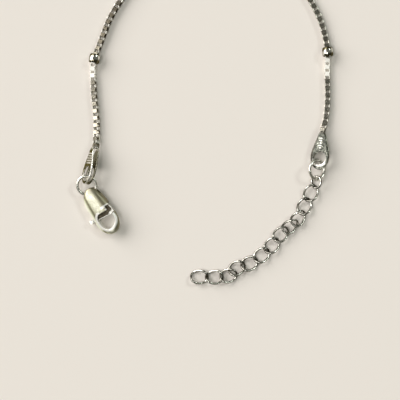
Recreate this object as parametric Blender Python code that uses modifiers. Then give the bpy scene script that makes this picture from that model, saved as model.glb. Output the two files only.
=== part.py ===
"""Silver box chain bracelet lying closed end down on a flat surface, seen from above.

A box chain runs round the whole loop. Each of its ends is held in a folded tag, each tag
carries a jump ring, and the rings carry a lobster clasp and a free curb chain extender.
Metres, +Z up. +Y runs from the clasp towards the far side of the loop, +X to the extender.
The origin is the middle of the bounding box, on the surface that the bracelet lies on.
"""

import math

import bmesh
import bpy
import numpy as np
from mathutils import Matrix, Vector

# Box chain: each link is a flat strip bent into a square ring.
CHAIN_WIDTH = 0.00125
CHAIN_STRIP_WIDTH = 0.00076
CHAIN_STRIP_THICKNESS = 0.00016
CHAIN_PITCH = 0.00083
CHAIN_CONTACT = 0.00003
END_LINK_WIDTH = 0.00135

# Beads: barrel-round, drilled for the chain.
BEAD_RADIUS = 0.0013
BEAD_HALF_LENGTH = 0.00116
BEAD_BORE_CLEARANCE = 0.0001
BEAD_RIM = 0.00005

# End tags: one strip folded round the end link, two leaves with a round hole.
TAG_LENGTH = 0.0092
TAG_HALF_WIDTH = 0.0021
TAG_THICKNESS = 0.00032
TAG_FOLD_RADIUS = 0.0007
TAG_END_SPREAD = 0.00043
TAG_NECK_HALF_WIDTH = 0.00023
TAG_HOLE_RADIUS = 0.0015
TAG_HOLE_FROM_END = 0.0027
TAG_HOLE_CENTRE = TAG_LENGTH - TAG_HOLE_FROM_END
TAG_NECK_GAP = 0.00025

# Jump rings.
RING_OUTER_DIAMETER = 0.0052
RING_WIRE = 0.00072

# Extender: curb links, each a twisted oval of round wire, and one small round link.
LINK_LENGTH = 0.0045
LINK_WIDTH = 0.0036
LINK_WIRE = 0.00044
LINK_TWIST = 0.00050
CONNECTOR_DIAMETER = 0.0033

# Lobster clasp, in its own frame: U from tail to head, V to the gate's side, W up.
CLASP_LENGTH = 0.0120
CLASP_HALF_WIDTH = 0.00285
CLASP_HALF_HEIGHT = 0.0015
CLASP_SLOT_HALF_HEIGHT = 0.00065
CLASP_HEAD_WALL = 0.00135
CLASP_EYE_LENGTH = 0.00415
CLASP_EYE_TO = CLASP_LENGTH - CLASP_HEAD_WALL
CLASP_EYE_FROM = CLASP_EYE_TO - CLASP_EYE_LENGTH
CLASP_EYE_HALF_WIDTH = 0.0018
CLASP_SHOULDER_DEPTH = 0.0010
CLASP_SHOULDER = CLASP_EYE_FROM - CLASP_SHOULDER_DEPTH
TAIL_SLOT_DEPTH = 0.0024
TAIL_POST_FROM_END = 0.00048
TAIL_POST_SIDE = -0.0004
TAIL_POST_RADIUS = 0.0003
PIVOT_BEHIND_EYE = 0.0019
PIVOT_FROM_TAIL = CLASP_EYE_FROM - PIVOT_BEHIND_EYE
PIVOT_SIDE = 0.0009
PIVOT_RADIUS = 0.00045
PIVOT_CLEARANCE = 0.00012
LEVER_HALF_THICKNESS = 0.00045
LEVER_HUB_RADIUS = 0.00095
LEVER_REACH = 0.0033
LEVER_TIP_GAP = 0.00016
NUB_RADIUS = 0.0005
NUB_HALF_HEIGHT = 0.0007
NUB_STAND_OUT = 0.0006

# Route of the chain: X, Y in metres, what seats it, and its roll in degrees.
CHAIN_ROUTE = (
    (-0.02590, -0.00780, "left_tag", 58.0),
    (-0.02580, -0.00493, "floor", 36.0),
    (-0.02590, -0.00070, "floor", 22.0),
    (-0.02630, 0.00329, "floor", 15.0),
    (-0.02653, 0.00681, "floor", 14.0),
    (-0.02660, 0.01010, "floor", 14.0),
    (-0.02627, 0.01276, "bead", 14.0),
    (-0.02540, 0.01530, "floor", 14.0),
    (-0.02428, 0.01821, "floor", 14.0),
    (-0.02303, 0.02143, "floor", 13.0),
    (-0.02012, 0.02655, "floor", 11.0),
    (-0.01590, 0.03219, "floor", 8.0),
    (-0.00983, 0.03668, "floor", 5.0),
    (-0.00227, 0.03928, "floor", 3.0),
    (0.00660, 0.03928, "floor", 1.0),
    (0.01415, 0.03668, "floor", 0.0),
    (0.02022, 0.03219, "floor", -2.0),
    (0.02449, 0.02655, "floor", -3.0),
    (0.02712, 0.02091, "floor", -4.0),
    (0.02799, 0.01762, "floor", -4.0),
    (0.02846, 0.01433, "bead", -4.0),
    (0.02845, 0.01104, "floor", -4.0),
    (0.02846, 0.00775, "floor", -4.0),
    (0.02851, 0.00470, "floor", -4.0),
    (0.02839, 0.00141, "floor", -6.0),
    (0.02801, -0.00165, "floor", -10.0),
    (0.02733, -0.00411, "right_tag", -20.0),
)

# How each tag lies: height of its fold, heading, pitch and roll in degrees.
TAG_POSES = {
    "left_tag": (0.00172, -104.1, 4.0, 58.0),
    "right_tag": (0.00122, -96.5, 1.9, 20.0),
}

# How each jump ring lies: X and Y from its tag's hole, height, the direction of its pull,
# pitch and roll in degrees.
RING_POSES = {
    "left_jump_ring": (-0.00053, -0.00285, 0.00198, -105.0, -10.2, -4.0),
    "right_jump_ring": (-0.00065, -0.00274, 0.00162, -96.5, 1.8, -34.7),
}

# How the clasp lies: its tail's end from the left tag's hole, its height, heading, pitch, roll.
CLASP_POSE = (-0.00013, -0.00365, 0.00166, -59.5, 0.0, 10.0)

# How the extender's links lie, from the free end: X and Y from the right tag's hole, height,
# heading, pitch, roll.
LINK_POSES = (
    (-0.02822, -0.02794, 0.00076, 0.1, 0.4, -0.7),
    (-0.02472, -0.02798, 0.00093, 2.1, -0.9, -10.7),
    (-0.02142, -0.02765, 0.00077, 13.1, -0.8, 0.7),
    (-0.01942, -0.02586, 0.00088, 30.3, 4.7, -1.1),
    (-0.01646, -0.02480, 0.00074, 26.8, -0.2, -0.1),
    (-0.01358, -0.02284, 0.00075, 38.6, -0.0, -0.8),
    (-0.01120, -0.02058, 0.00074, 48.0, -0.1, -0.4),
    (-0.00907, -0.01788, 0.00097, 46.6, 2.3, 6.4),
    (-0.00685, -0.01598, 0.00117, 38.7, 3.7, 26.4),
    (-0.00495, -0.01411, 0.00116, 53.1, 0.4, 22.5),
    (-0.00351, -0.01134, 0.00075, 62.9, -0.3, 0.4),
    (-0.00202, -0.00822, 0.00089, 63.2, -0.2, 1.0),
)
CONNECTOR_POSE = (-0.00081, -0.00565, 0.00128, -2.3, 42.3, -1.0)

# Outline of the tag's leaf: shares of its length and of its half width.
TAG_OUTLINE = (
    (0.09, 0.30),
    (0.17, 0.44),
    (0.32, 0.64),
    (0.46, 0.83),
    (0.57, 0.95),
    (0.67, 1.00),
    (0.76, 0.97),
    (0.84, 0.87),
    (0.91, 0.70),
    (0.96, 0.49),
    (0.99, 0.26),
    (1.00, 0.10),
)

# Sections of the clasp's shell: share of its length, then shares of its half width on
# the spine's side and on the gate's side, and of its half height.
CLASP_SECTIONS = (
    (0.000, 0.24, 0.24, 0.66),
    (0.030, 0.47, 0.45, 0.80),
    (0.092, 0.71, 0.61, 0.90),
    (0.210, 0.93, 0.76, 0.97),
    (0.370, 1.00, 0.88, 1.00),
    (0.525, 1.00, 0.96, 0.97),
    (0.700, 0.97, 0.98, 0.80),
    (0.840, 0.84, 0.87, 0.71),
    (0.925, 0.61, 0.67, 0.67),
    (0.975, 0.36, 0.42, 0.60),
    (1.000, 0.12, 0.16, 0.44),
)
SECTION_SIDES = 16
SECTION_POWER = 3.0

# Outline of the clasp's eye: shares along it and of its half width.
EYE_OUTLINE = (
    (0.00, -0.52),
    (0.00, 0.90),
    (0.36, 1.12),
    (0.60, 1.14),
    (0.82, 0.90),
    (0.97, 0.35),
    (1.00, -0.20),
    (0.90, -0.62),
    (0.68, -0.90),
    (0.42, -0.96),
    (0.17, -0.88),
)

SILVER = (0.83, 0.82, 0.79)
RING_SIDES = 16
WIRE_SIDES = 6
LINK_POINTS = 14
BORE_SIDES = 16


# collections, materials and placing


def clear_scene():
    """Remove every object of the open file."""
    for item in list(bpy.data.objects):
        bpy.data.objects.remove(item, do_unlink=True)


def new_collection(name):
    """Collection linked under the scene's root."""
    collection = bpy.data.collections.new(name)
    bpy.context.scene.collection.children.link(collection)
    return collection


def silver(name, roughness):
    """Polished or satin silver."""
    material = bpy.data.materials.new(name)
    material.use_nodes = True
    shader = material.node_tree.nodes["Principled BSDF"]
    shader.inputs["Base Color"].default_value = (*SILVER, 1.0)
    shader.inputs["Metallic"].default_value = 1.0
    shader.inputs["Roughness"].default_value = roughness
    return material


def pose(x, y, z, heading, pitch, roll):
    """Frame whose X axis points along the heading, raised by the pitch, then rolled."""
    turn = Matrix.Rotation(math.radians(heading), 4, "Z")
    raise_nose = Matrix.Rotation(-math.radians(pitch), 4, "Y")
    lean = Matrix.Rotation(math.radians(roll), 4, "X")
    return Matrix.Translation((x, y, z)) @ turn @ raise_nose @ lean


def place(item, collection, material, matrix):
    """Link an object, give it its material and put it in its frame."""
    collection.objects.link(item)
    item.data.materials.clear()
    item.data.materials.append(material)
    item.matrix_world = matrix
    return item


def mesh_object(name, vertices, faces):
    """Object of a mesh given by its vertices and faces."""
    mesh = bpy.data.meshes.new(name)
    mesh.from_pydata([tuple(vertex) for vertex in vertices], [], faces)
    mesh.validate()
    return bpy.data.objects.new(name, mesh)


def smooth(item, angle):
    """Shade smooth, with edges sharper than the angle kept sharp."""
    item.data.shade_smooth()
    item.data.set_sharp_from_angle(angle=math.radians(angle))


def boolean(item, other, operation):
    """Cut or join with another object by the exact solver."""
    modifier = item.modifiers.new(other.name, "BOOLEAN")
    modifier.operation = operation
    modifier.object = other
    modifier.solver = "EXACT"
    return modifier


def tool(item, collection, matrix):
    """Keep an object as a cutter or a piece to join: not part of the model."""
    collection.objects.link(item)
    item.matrix_world = matrix
    item.hide_render = True
    item.display_type = "WIRE"
    return item


def prism(name, outline, half_height):
    """Flat outline in XY, raised and lowered by half its height."""
    curve = bpy.data.curves.new(name, "CURVE")
    curve.dimensions = "2D"
    curve.fill_mode = "BOTH"
    curve.extrude = half_height
    spline = curve.splines.new("POLY")
    spline.points.add(len(outline) - 1)
    for point, (x, y) in zip(spline.points, outline):
        point.co = (x, y, 0.0, 1.0)
    spline.use_cyclic_u = True
    item = bpy.data.objects.new(name, curve)
    return curve_to_mesh(item)


def curve_to_mesh(item):
    """Mesh object of a curve object, with its caps welded on."""
    name = item.name
    bpy.context.scene.collection.objects.link(item)
    graph = bpy.context.evaluated_depsgraph_get()
    mesh = bpy.data.meshes.new_from_object(item.evaluated_get(graph))
    curve = item.data
    bpy.data.objects.remove(item, do_unlink=True)
    bpy.data.curves.remove(curve)
    work = bmesh.new()
    work.from_mesh(mesh)
    bmesh.ops.remove_doubles(work, verts=work.verts, dist=0.000001)
    bmesh.ops.recalc_face_normals(work, faces=work.faces)
    work.to_mesh(mesh)
    work.free()
    mesh.name = name
    return bpy.data.objects.new(name, mesh)


def cylinder(name, radius, half_height, sides):
    """Closed cylinder along Z, centred on its own origin."""
    mesh = bpy.data.meshes.new(name)
    work = bmesh.new()
    bmesh.ops.create_cone(
        work,
        cap_ends=True,
        segments=sides,
        radius1=radius,
        radius2=radius,
        depth=2.0 * half_height,
    )
    work.to_mesh(mesh)
    work.free()
    return bpy.data.objects.new(name, mesh)


# chain


def natural_spline(knots, values, at):
    """Natural cubic spline through the values, read at the given places."""
    steps = np.diff(knots)
    count = len(knots)
    system = np.eye(count)
    right = np.zeros((count, values.shape[1]))
    slopes = np.diff(values, axis=0) / steps[:, None]
    for row in range(1, count - 1):
        system[row, row - 1] = steps[row - 1]
        system[row, row] = 2.0 * (steps[row - 1] + steps[row])
        system[row, row + 1] = steps[row]
        right[row] = 6.0 * (slopes[row] - slopes[row - 1])
    bends = np.linalg.solve(system, right)
    piece = np.clip(np.searchsorted(knots, at) - 1, 0, count - 2)
    width = steps[piece][:, None]
    after = (at - knots[piece])[:, None]
    before = width - after
    return (
        bends[piece] * before**3 / (6.0 * width)
        + bends[piece + 1] * after**3 / (6.0 * width)
        + (values[piece] / width - bends[piece] * width / 6.0) * before
        + (values[piece + 1] / width - bends[piece + 1] * width / 6.0) * after
    )


def seat_height(seat, roll):
    """Height of the chain's middle: on the surface, in a bead or in a tag's fold."""
    if seat == "bead":
        return BEAD_RADIUS
    if seat in TAG_POSES:
        return TAG_POSES[seat][0]
    return float(resting_height(math.radians(roll)))


def resting_height(roll):
    """Height of the chain's middle where its rolled square section lies on the surface."""
    return CHAIN_WIDTH / 2.0 * (np.abs(np.cos(roll)) + np.abs(np.sin(roll)))


def chain_route():
    """Dense table of the route: distance along it, place and roll."""
    values = np.array(
        [[x, y, seat_height(seat, roll), math.radians(roll)] for x, y, seat, roll in CHAIN_ROUTE]
    )
    knots = np.concatenate(([0.0], np.cumsum(np.linalg.norm(np.diff(values[:, :2], axis=0), axis=1))))
    at = np.linspace(0.0, knots[-1], 1600)
    fine = natural_spline(knots, values, at)
    fine[:, 2] = np.maximum(fine[:, 2], resting_height(fine[:, 3]))
    steps = np.linalg.norm(np.diff(fine[:, :3], axis=0), axis=1)
    return np.concatenate(([0.0], np.cumsum(steps))), fine


def chain_frame(route, distance):
    """Frame on the route: X along the chain, Z its rolled face normal."""
    along, fine = route
    half = CHAIN_PITCH / 2.0
    place_at = [np.interp(distance, along, fine[:, axis]) for axis in range(3)]
    ahead = [np.interp(distance + half, along, fine[:, axis]) for axis in range(3)]
    behind = [np.interp(distance - half, along, fine[:, axis]) for axis in range(3)]
    roll = np.interp(distance, along, fine[:, 3])
    forward = (Vector(ahead) - Vector(behind)).normalized()
    side = forward.cross(Vector((0.0, 0.0, 1.0))).normalized()
    upward = side.cross(forward)
    normal = upward * math.cos(roll) - side * math.sin(roll)
    left = normal.cross(forward)
    turn = Matrix((forward, left, normal)).transposed().to_4x4()
    return Matrix.Translation(place_at) @ turn


def tag_frame(name, end_row):
    """Frame of a tag: origin in the middle of its fold, X along its leaves, Z across them."""
    height, heading, pitch, roll = TAG_POSES[name]
    x, y = CHAIN_ROUTE[end_row][:2]
    return pose(x, y, height, heading, pitch, roll)


def pose_from_hole(tag, values):
    """Frame of a piece whose X and Y are measured from the middle of a tag's hole."""
    row = 0 if tag == "left_tag" else -1
    hole = tag_frame(tag, row) @ Vector((TAG_HOLE_CENTRE, 0.0, 0.0))
    return pose(hole.x + values[0], hole.y + values[1], *values[2:])


def link_shell(frame, turned, start, end, width):
    """Four faces of one link's square tube, open across the strip's width."""
    half_strip = CHAIN_STRIP_WIDTH / 2.0
    corners = ((start, -1), (end, -1), (end, 1), (start, 1))
    points = []
    for edge in (-half_strip, half_strip):
        for x, sign in corners:
            across = sign * width / 2.0
            local = (x, edge, across) if turned else (x, across, edge)
            points.append(frame @ Vector(local))
    return points


def chain_half(name, links):
    """Open square tubes of every second link, thickened inwards."""
    points = []
    faces = []
    for link in links:
        base = len(points)
        points.extend(link_shell(*link))
        turned = link[1]
        for corner in range(4):
            following = (corner + 1) % 4
            face = [base + corner, base + following, base + 4 + following, base + 4 + corner]
            faces.append(face[::-1] if turned else face)
    item = mesh_object(name, points, faces)
    shell = item.modifiers.new("strip", "SOLIDIFY")
    shell.thickness = CHAIN_STRIP_THICKNESS
    shell.offset = -1.0
    shell.use_even_offset = True
    return item


def chain_links():
    """Every link of the chain: frame, turned or not, ends along it, and width."""
    route = chain_route()
    length = route[0][-1]
    strip = CHAIN_STRIP_THICKNESS
    first = TAG_THICKNESS / 2.0 + TAG_NECK_GAP
    free = length - 2.0 * first - 2.0 * strip + CHAIN_CONTACT
    count = 2 * int(free / CHAIN_PITCH / 2.0) + 1
    pitch = free / count
    half = (pitch + 2.0 * strip - CHAIN_CONTACT) / 2.0
    end_from = -(first + strip)
    end_to = first + 2.0 * strip - CHAIN_CONTACT
    about = Matrix.Rotation(math.pi, 4, "Z")
    links = [(tag_frame("left_tag", 0) @ about, False, end_from, end_to, END_LINK_WIDTH)]
    for index in range(count):
        frame = chain_frame(route, first + half + index * pitch)
        links.append((frame, index % 2 == 0, -half, half, CHAIN_WIDTH))
    links.append((tag_frame("right_tag", -1), False, -end_to, -end_from, END_LINK_WIDTH))
    return links


def build_chain(parts, tools, material):
    """Box chain: the two sets of alternate links, joined where they touch."""
    links = chain_links()
    chain = chain_half("box_chain", links[0::2])
    others = chain_half("chain_other_links", links[1::2])
    place(chain, parts, material, Matrix.Identity(4))
    tool(others, tools, Matrix.Identity(4))
    boolean(chain, others, "UNION")
    return chain


# beads


def build_bead(name, index, parts, material):
    """Drilled barrel bead, turned about the chain where the route names it."""
    bore = CHAIN_WIDTH / 2.0 * math.sqrt(2.0) + BEAD_BORE_CLEARANCE
    rim = bore + BEAD_RIM
    profile = []
    for share in (1.0, 0.86, 0.55, 0.0, -0.55, -0.86, -1.0):
        swell = math.sqrt(1.0 - share * share)
        profile.append((rim + (BEAD_RADIUS - rim) * swell, share * BEAD_HALF_LENGTH))
    profile.append((bore, -BEAD_HALF_LENGTH))
    profile.append((bore, BEAD_HALF_LENGTH))
    mesh = bpy.data.meshes.new(name)
    edges = [(row, (row + 1) % len(profile)) for row in range(len(profile))]
    mesh.from_pydata([(radius, 0.0, z) for radius, z in profile], edges, [])
    bead = bpy.data.objects.new(name, mesh)
    screw = bead.modifiers.new("turn", "SCREW")
    screw.steps = RING_SIDES
    screw.render_steps = RING_SIDES
    screw.merge_threshold = 0.000001
    screw.use_merge_vertices = True
    route = chain_route()
    rows = [row for row, entry in enumerate(CHAIN_ROUTE) if entry[2] == "bead"]
    x, y = CHAIN_ROUTE[rows[index]][:2]
    nearest = int(np.argmin(np.hypot(route[1][:, 0] - x, route[1][:, 1] - y)))
    frame = chain_frame(route, route[0][nearest])
    upright = frame @ Matrix.Rotation(math.radians(90.0), 4, "Y")
    return place(bead, parts, material, upright)


# end tags


def tag_section(share):
    """Half width of the leaf at a share of the tag's length."""
    shares = [row[0] for row in TAG_OUTLINE]
    widths = [row[1] for row in TAG_OUTLINE]
    return TAG_HALF_WIDTH * float(np.interp(share, shares, widths))


def tag_rows():
    """Rows along one half of the strip, from the fold's middle: X, Z and half width."""
    rows = []
    for step in range(5):
        angle = math.radians(90.0) * step / 4.0
        along = TAG_FOLD_RADIUS * (1.0 - math.cos(angle))
        height = TAG_FOLD_RADIUS * math.sin(angle)
        grown = max(0.0, (step - 2) / 2.0) ** 2
        neck = TAG_NECK_HALF_WIDTH
        rows.append((along, height, neck + (tag_section(TAG_OUTLINE[0][0]) - neck) * grown))
    for share, _ in TAG_OUTLINE[1:]:
        along = TAG_LENGTH * share
        drop = (along - TAG_FOLD_RADIUS) / (TAG_LENGTH - TAG_FOLD_RADIUS)
        height = TAG_FOLD_RADIUS + (TAG_END_SPREAD - TAG_FOLD_RADIUS) * drop
        rows.append((along, height, tag_section(share)))
    return rows


def build_tag(name, end_row, parts, tools, material):
    """Folded strip: an open surface along its path, thickened, with a round hole."""
    half = tag_rows()
    path = [(x, -z, width) for x, z, width in reversed(half[1:])] + half
    points = []
    for x, z, width in path:
        points.append((x, -width, z))
        points.append((x, width, z))
    faces = []
    for row in range(len(path) - 1):
        low = 2 * row
        faces.append([low, low + 1, low + 3, low + 2])
    tag = mesh_object(name, points, faces)
    sheet = tag.modifiers.new("sheet", "SOLIDIFY")
    sheet.thickness = TAG_THICKNESS
    sheet.offset = 0.0
    matrix = tag_frame(name, end_row)
    hole = cylinder(name + "_hole", TAG_HOLE_RADIUS, 2.0 * TAG_FOLD_RADIUS, BORE_SIDES)
    tool(hole, tools, matrix @ Matrix.Translation((TAG_HOLE_CENTRE, 0.0, 0.0)))
    place(tag, parts, material, matrix)
    boolean(tag, hole, "DIFFERENCE")
    return tag


# rings and links


def ring_object(name, mean_radius, wire):
    """Round wire ring: a torus."""
    bpy.ops.mesh.primitive_torus_add(
        major_radius=mean_radius,
        minor_radius=wire / 2.0,
        major_segments=RING_SIDES,
        minor_segments=WIRE_SIDES,
    )
    ring = bpy.context.object
    ring.name = name
    ring.data.name = name
    for collection in list(ring.users_collection):
        collection.objects.unlink(ring)
    return ring


def build_rings(parts, material):
    """The two jump rings and the small link that joins the extender."""
    mean = (RING_OUTER_DIAMETER - RING_WIRE) / 2.0
    for name, values in RING_POSES.items():
        ring = ring_object(name, mean, RING_WIRE)
        place(ring, parts, material, pose_from_hole(name.replace("jump_ring", "tag"), values))
        smooth(ring, 60.0)
    small = ring_object("connector_link", (CONNECTOR_DIAMETER - LINK_WIRE) / 2.0, LINK_WIRE)
    place(small, parts, material, pose_from_hole("right_tag", CONNECTOR_POSE))
    smooth(small, 60.0)


def build_links(parts, material):
    """Curb links: a closed wire on a twisted oval, the same for all."""
    curve = bpy.data.curves.new("extender_link", "CURVE")
    curve.dimensions = "3D"
    curve.bevel_depth = LINK_WIRE / 2.0
    curve.bevel_resolution = (WIRE_SIDES - 4) // 2
    spline = curve.splines.new("POLY")
    spline.points.add(LINK_POINTS - 1)
    for index, point in enumerate(spline.points):
        turn = 2.0 * math.pi * index / LINK_POINTS
        x = (LINK_LENGTH - LINK_WIRE) / 2.0 * math.cos(turn)
        y = (LINK_WIDTH - LINK_WIRE) / 2.0 * math.sin(turn)
        point.co = (x, y, LINK_TWIST * math.sin(2.0 * turn), 1.0)
    spline.use_cyclic_u = True
    shape = curve_to_mesh(bpy.data.objects.new("extender_link", curve))
    shape.data.shade_smooth()
    for number, values in enumerate(LINK_POSES, start=1):
        link = bpy.data.objects.new(f"extender_link_{number:02d}", shape.data)
        place(link, parts, material, pose_from_hole("right_tag", values))
    bpy.data.objects.remove(shape, do_unlink=True)


# clasp


def clasp_shell():
    """Loft of rounded sections from the tail's end to the head."""
    points = []
    faces = []
    for share, spine, gate, height in CLASP_SECTIONS:
        for side in range(SECTION_SIDES):
            angle = 2.0 * math.pi * side / SECTION_SIDES
            across = math.copysign(abs(math.cos(angle)) ** (2.0 / SECTION_POWER), math.cos(angle))
            upward = math.copysign(abs(math.sin(angle)) ** (2.0 / SECTION_POWER), math.sin(angle))
            width = CLASP_HALF_WIDTH * (gate if across > 0.0 else spine)
            points.append(
                (CLASP_LENGTH * share, width * across, CLASP_HALF_HEIGHT * height * upward)
            )
    for row in range(len(CLASP_SECTIONS) - 1):
        for side in range(SECTION_SIDES):
            following = (side + 1) % SECTION_SIDES
            low = row * SECTION_SIDES
            high = low + SECTION_SIDES
            faces.append([low + side, low + following, high + following, high + side])
    faces.append(list(range(SECTION_SIDES))[::-1])
    faces.append([len(points) - SECTION_SIDES + side for side in range(SECTION_SIDES)])
    return mesh_object("clasp_body", points, faces)


def eye_outline():
    """Outline of the hook's eye in the clasp's frame."""
    span = CLASP_EYE_TO - CLASP_EYE_FROM
    return [
        (CLASP_EYE_FROM + span * share, CLASP_EYE_HALF_WIDTH * width) for share, width in EYE_OUTLINE
    ]


def gate_opening():
    """Opening that the gate closes: an arc about the pivot, out to the gate's side."""
    reach = LEVER_REACH + LEVER_TIP_GAP
    inner = 0.8 * CLASP_EYE_HALF_WIDTH
    start = math.asin((inner - PIVOT_SIDE) / reach)
    outline = [(CLASP_SHOULDER, inner)]
    for step in range(7):
        angle = start + (math.radians(56.0) - start) * step / 6.0
        outline.append((PIVOT_FROM_TAIL + reach * math.cos(angle), PIVOT_SIDE + reach * math.sin(angle)))
    outline.append((CLASP_SHOULDER, 1.5 * CLASP_HALF_WIDTH))
    return outline


def lever_slot():
    """Slot between the clasp's plates: round the hub, open at gate, mouth and nub."""
    back = PIVOT_FROM_TAIL - LEVER_HUB_RADIUS - 2.0 * PIVOT_CLEARANCE
    wall = -0.67 * CLASP_HALF_WIDTH
    outside = 1.5 * CLASP_HALF_WIDTH
    window_from = PIVOT_FROM_TAIL + PIVOT_CLEARANCE
    window_to = nub_centre()[0] + 2.0 * NUB_RADIUS - PIVOT_CLEARANCE
    mouth = CLASP_EYE_FROM + NUB_RADIUS
    return [
        (back, wall),
        (window_from, wall),
        (window_from, -outside),
        (window_to, -outside),
        (window_to, -0.3 * CLASP_EYE_HALF_WIDTH),
        (mouth, 0.0),
        (mouth, outside),
        (back, outside),
    ]


def nub_centre():
    """Middle of the thumb nub in the clasp's frame, just outside the spine."""
    along = CLASP_EYE_FROM + 1.4 * NUB_RADIUS
    return along, -(CLASP_HALF_WIDTH + NUB_STAND_OUT)


def lever_outline():
    """Outline of the lever about its pivot, with the gate shut."""
    tip = []
    for angle in (13.5, 20.0, 26.0, 31.0):
        turn = math.radians(angle)
        tip.append((LEVER_REACH * math.cos(turn), LEVER_REACH * math.sin(turn)))
    hub = []
    for angle in (100.0, 135.0, 170.0, 205.0, 240.0):
        turn = math.radians(angle)
        hub.append((LEVER_HUB_RADIUS * math.cos(turn), LEVER_HUB_RADIUS * math.sin(turn)))
    along, side = nub_centre()
    nub = (along - PIVOT_FROM_TAIL, side - PIVOT_SIDE)
    arm = 0.8 * NUB_RADIUS
    web = (0.94 * LEVER_REACH, -0.6 * NUB_RADIUS)
    return (
        hub
        + [(nub[0] - 1.6 * arm, nub[1] * 0.62), (nub[0] - arm, nub[1]), (nub[0] + arm, nub[1])]
        + [(nub[0] + 0.9 * arm, nub[1] * 0.62), web]
        + tip
        + [(0.55 * LEVER_REACH, 0.51 * LEVER_REACH)]
    )


def build_clasp(parts, tools, satin):
    """Clasp's shell with hook, tail post and pivot post, and its lever."""
    matrix = pose_from_hole("left_tag", CLASP_POSE)
    body = clasp_shell()
    place(body, parts, satin, matrix)
    smooth(body, 40.0)
    deep = 2.0 * CLASP_HALF_HEIGHT
    slot = CLASP_SLOT_HALF_HEIGHT
    eye = tool(prism("clasp_eye", eye_outline(), deep), tools, matrix)
    opening = tool(prism("clasp_gate_opening", gate_opening(), deep), tools, matrix)
    middle = tool(prism("clasp_lever_slot", lever_slot(), slot), tools, matrix)
    side = 1.5 * CLASP_HALF_WIDTH
    depth = TAIL_SLOT_DEPTH
    tail = prism("clasp_tail_slot", [(-depth, -side), (depth, -side), (depth, side), (-depth, side)], slot)
    tool(tail, tools, matrix)
    for cutter in (eye, opening, middle, tail):
        boolean(body, cutter, "DIFFERENCE")
    buried = slot + 0.5 * (CLASP_HALF_HEIGHT - slot)
    pivot_at = (PIVOT_FROM_TAIL, PIVOT_SIDE, 0.0)
    pivot = cylinder("clasp_pivot_post", PIVOT_RADIUS, buried, BORE_SIDES)
    tool(pivot, tools, matrix @ Matrix.Translation(pivot_at))
    post = cylinder("clasp_tail_post", TAIL_POST_RADIUS, buried, BORE_SIDES - 4)
    post_at = (TAIL_POST_FROM_END, TAIL_POST_SIDE, 0.0)
    tool(post, tools, matrix @ Matrix.Translation(post_at))
    boolean(body, pivot, "UNION")
    boolean(body, post, "UNION")
    build_lever(parts, tools, satin, matrix @ Matrix.Translation(pivot_at))
    return body


def build_lever(parts, tools, material, matrix):
    """Lever on the pivot post: gate, hub with its bore, and thumb nub."""
    lever = prism("clasp_lever", lever_outline(), LEVER_HALF_THICKNESS)
    place(lever, parts, material, matrix)
    along, side = nub_centre()
    nub_at = Matrix.Translation((along - PIVOT_FROM_TAIL, side - PIVOT_SIDE, 0.0))
    nub = cylinder("lever_nub", NUB_RADIUS, NUB_HALF_HEIGHT, 10)
    tool(nub, tools, matrix @ nub_at)
    bore = cylinder("lever_bore", PIVOT_RADIUS + PIVOT_CLEARANCE, 2.0 * NUB_HALF_HEIGHT, BORE_SIDES)
    tool(bore, tools, matrix)
    boolean(lever, nub, "UNION")
    boolean(lever, bore, "DIFFERENCE")
    return lever


# whole


def bounds_of(collection):
    """Lowest and highest corner of all parts, as the modifiers leave them."""
    graph = bpy.context.evaluated_depsgraph_get()
    corners = []
    for item in collection.objects:
        if item.type != "MESH":
            continue
        shape = item.evaluated_get(graph)
        mesh = shape.to_mesh()
        points = np.empty(len(mesh.vertices) * 3)
        mesh.vertices.foreach_get("co", points)
        world = np.array(item.matrix_world)
        corners.append(points.reshape(-1, 3) @ world[:3, :3].T + world[:3, 3])
        shape.to_mesh_clear()
    every = np.concatenate(corners)
    return every.min(axis=0), every.max(axis=0)


def stand_on_origin(parts, tools):
    """Parent everything to one empty and move it: box centred over the origin, on Z 0."""
    low, high = bounds_of(parts)
    stand = bpy.data.objects.new("bracelet", None)
    parts.objects.link(stand)
    for item in list(parts.objects) + list(tools.objects):
        if item is not stand:
            item.parent = stand
    middle = (low + high) / 2.0
    stand.location = (-middle[0], -middle[1], -low[2])
    bpy.context.view_layer.update()


def main():
    """Build every piece and stand the bracelet on its origin."""
    clear_scene()
    parts = new_collection("rakhi")
    tools = new_collection("cutters")
    polished = silver("polished_silver", 0.16)
    satin = silver("satin_silver", 0.3)
    build_chain(parts, tools, polished)
    build_bead("left_bead", 0, parts, polished)
    build_bead("right_bead", 1, parts, polished)
    build_tag("left_tag", 0, parts, tools, polished)
    build_tag("right_tag", -1, parts, tools, polished)
    build_rings(parts, polished)
    build_links(parts, polished)
    build_clasp(parts, tools, satin)
    bpy.context.view_layer.update()
    stand_on_origin(parts, tools)


main()
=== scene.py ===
"""Silver box chain bracelet on a pale surface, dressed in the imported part's frame.

Every wire, bead, tag and link is a surface worked out with numpy. The clasp and its lever are
lofted and cut, then softened as a tumbled casting is. Metres, +Z up, seen from straight above.
"""

import math

import bmesh
import bpy
import numpy as np
from mathutils import Matrix, Vector


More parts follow.
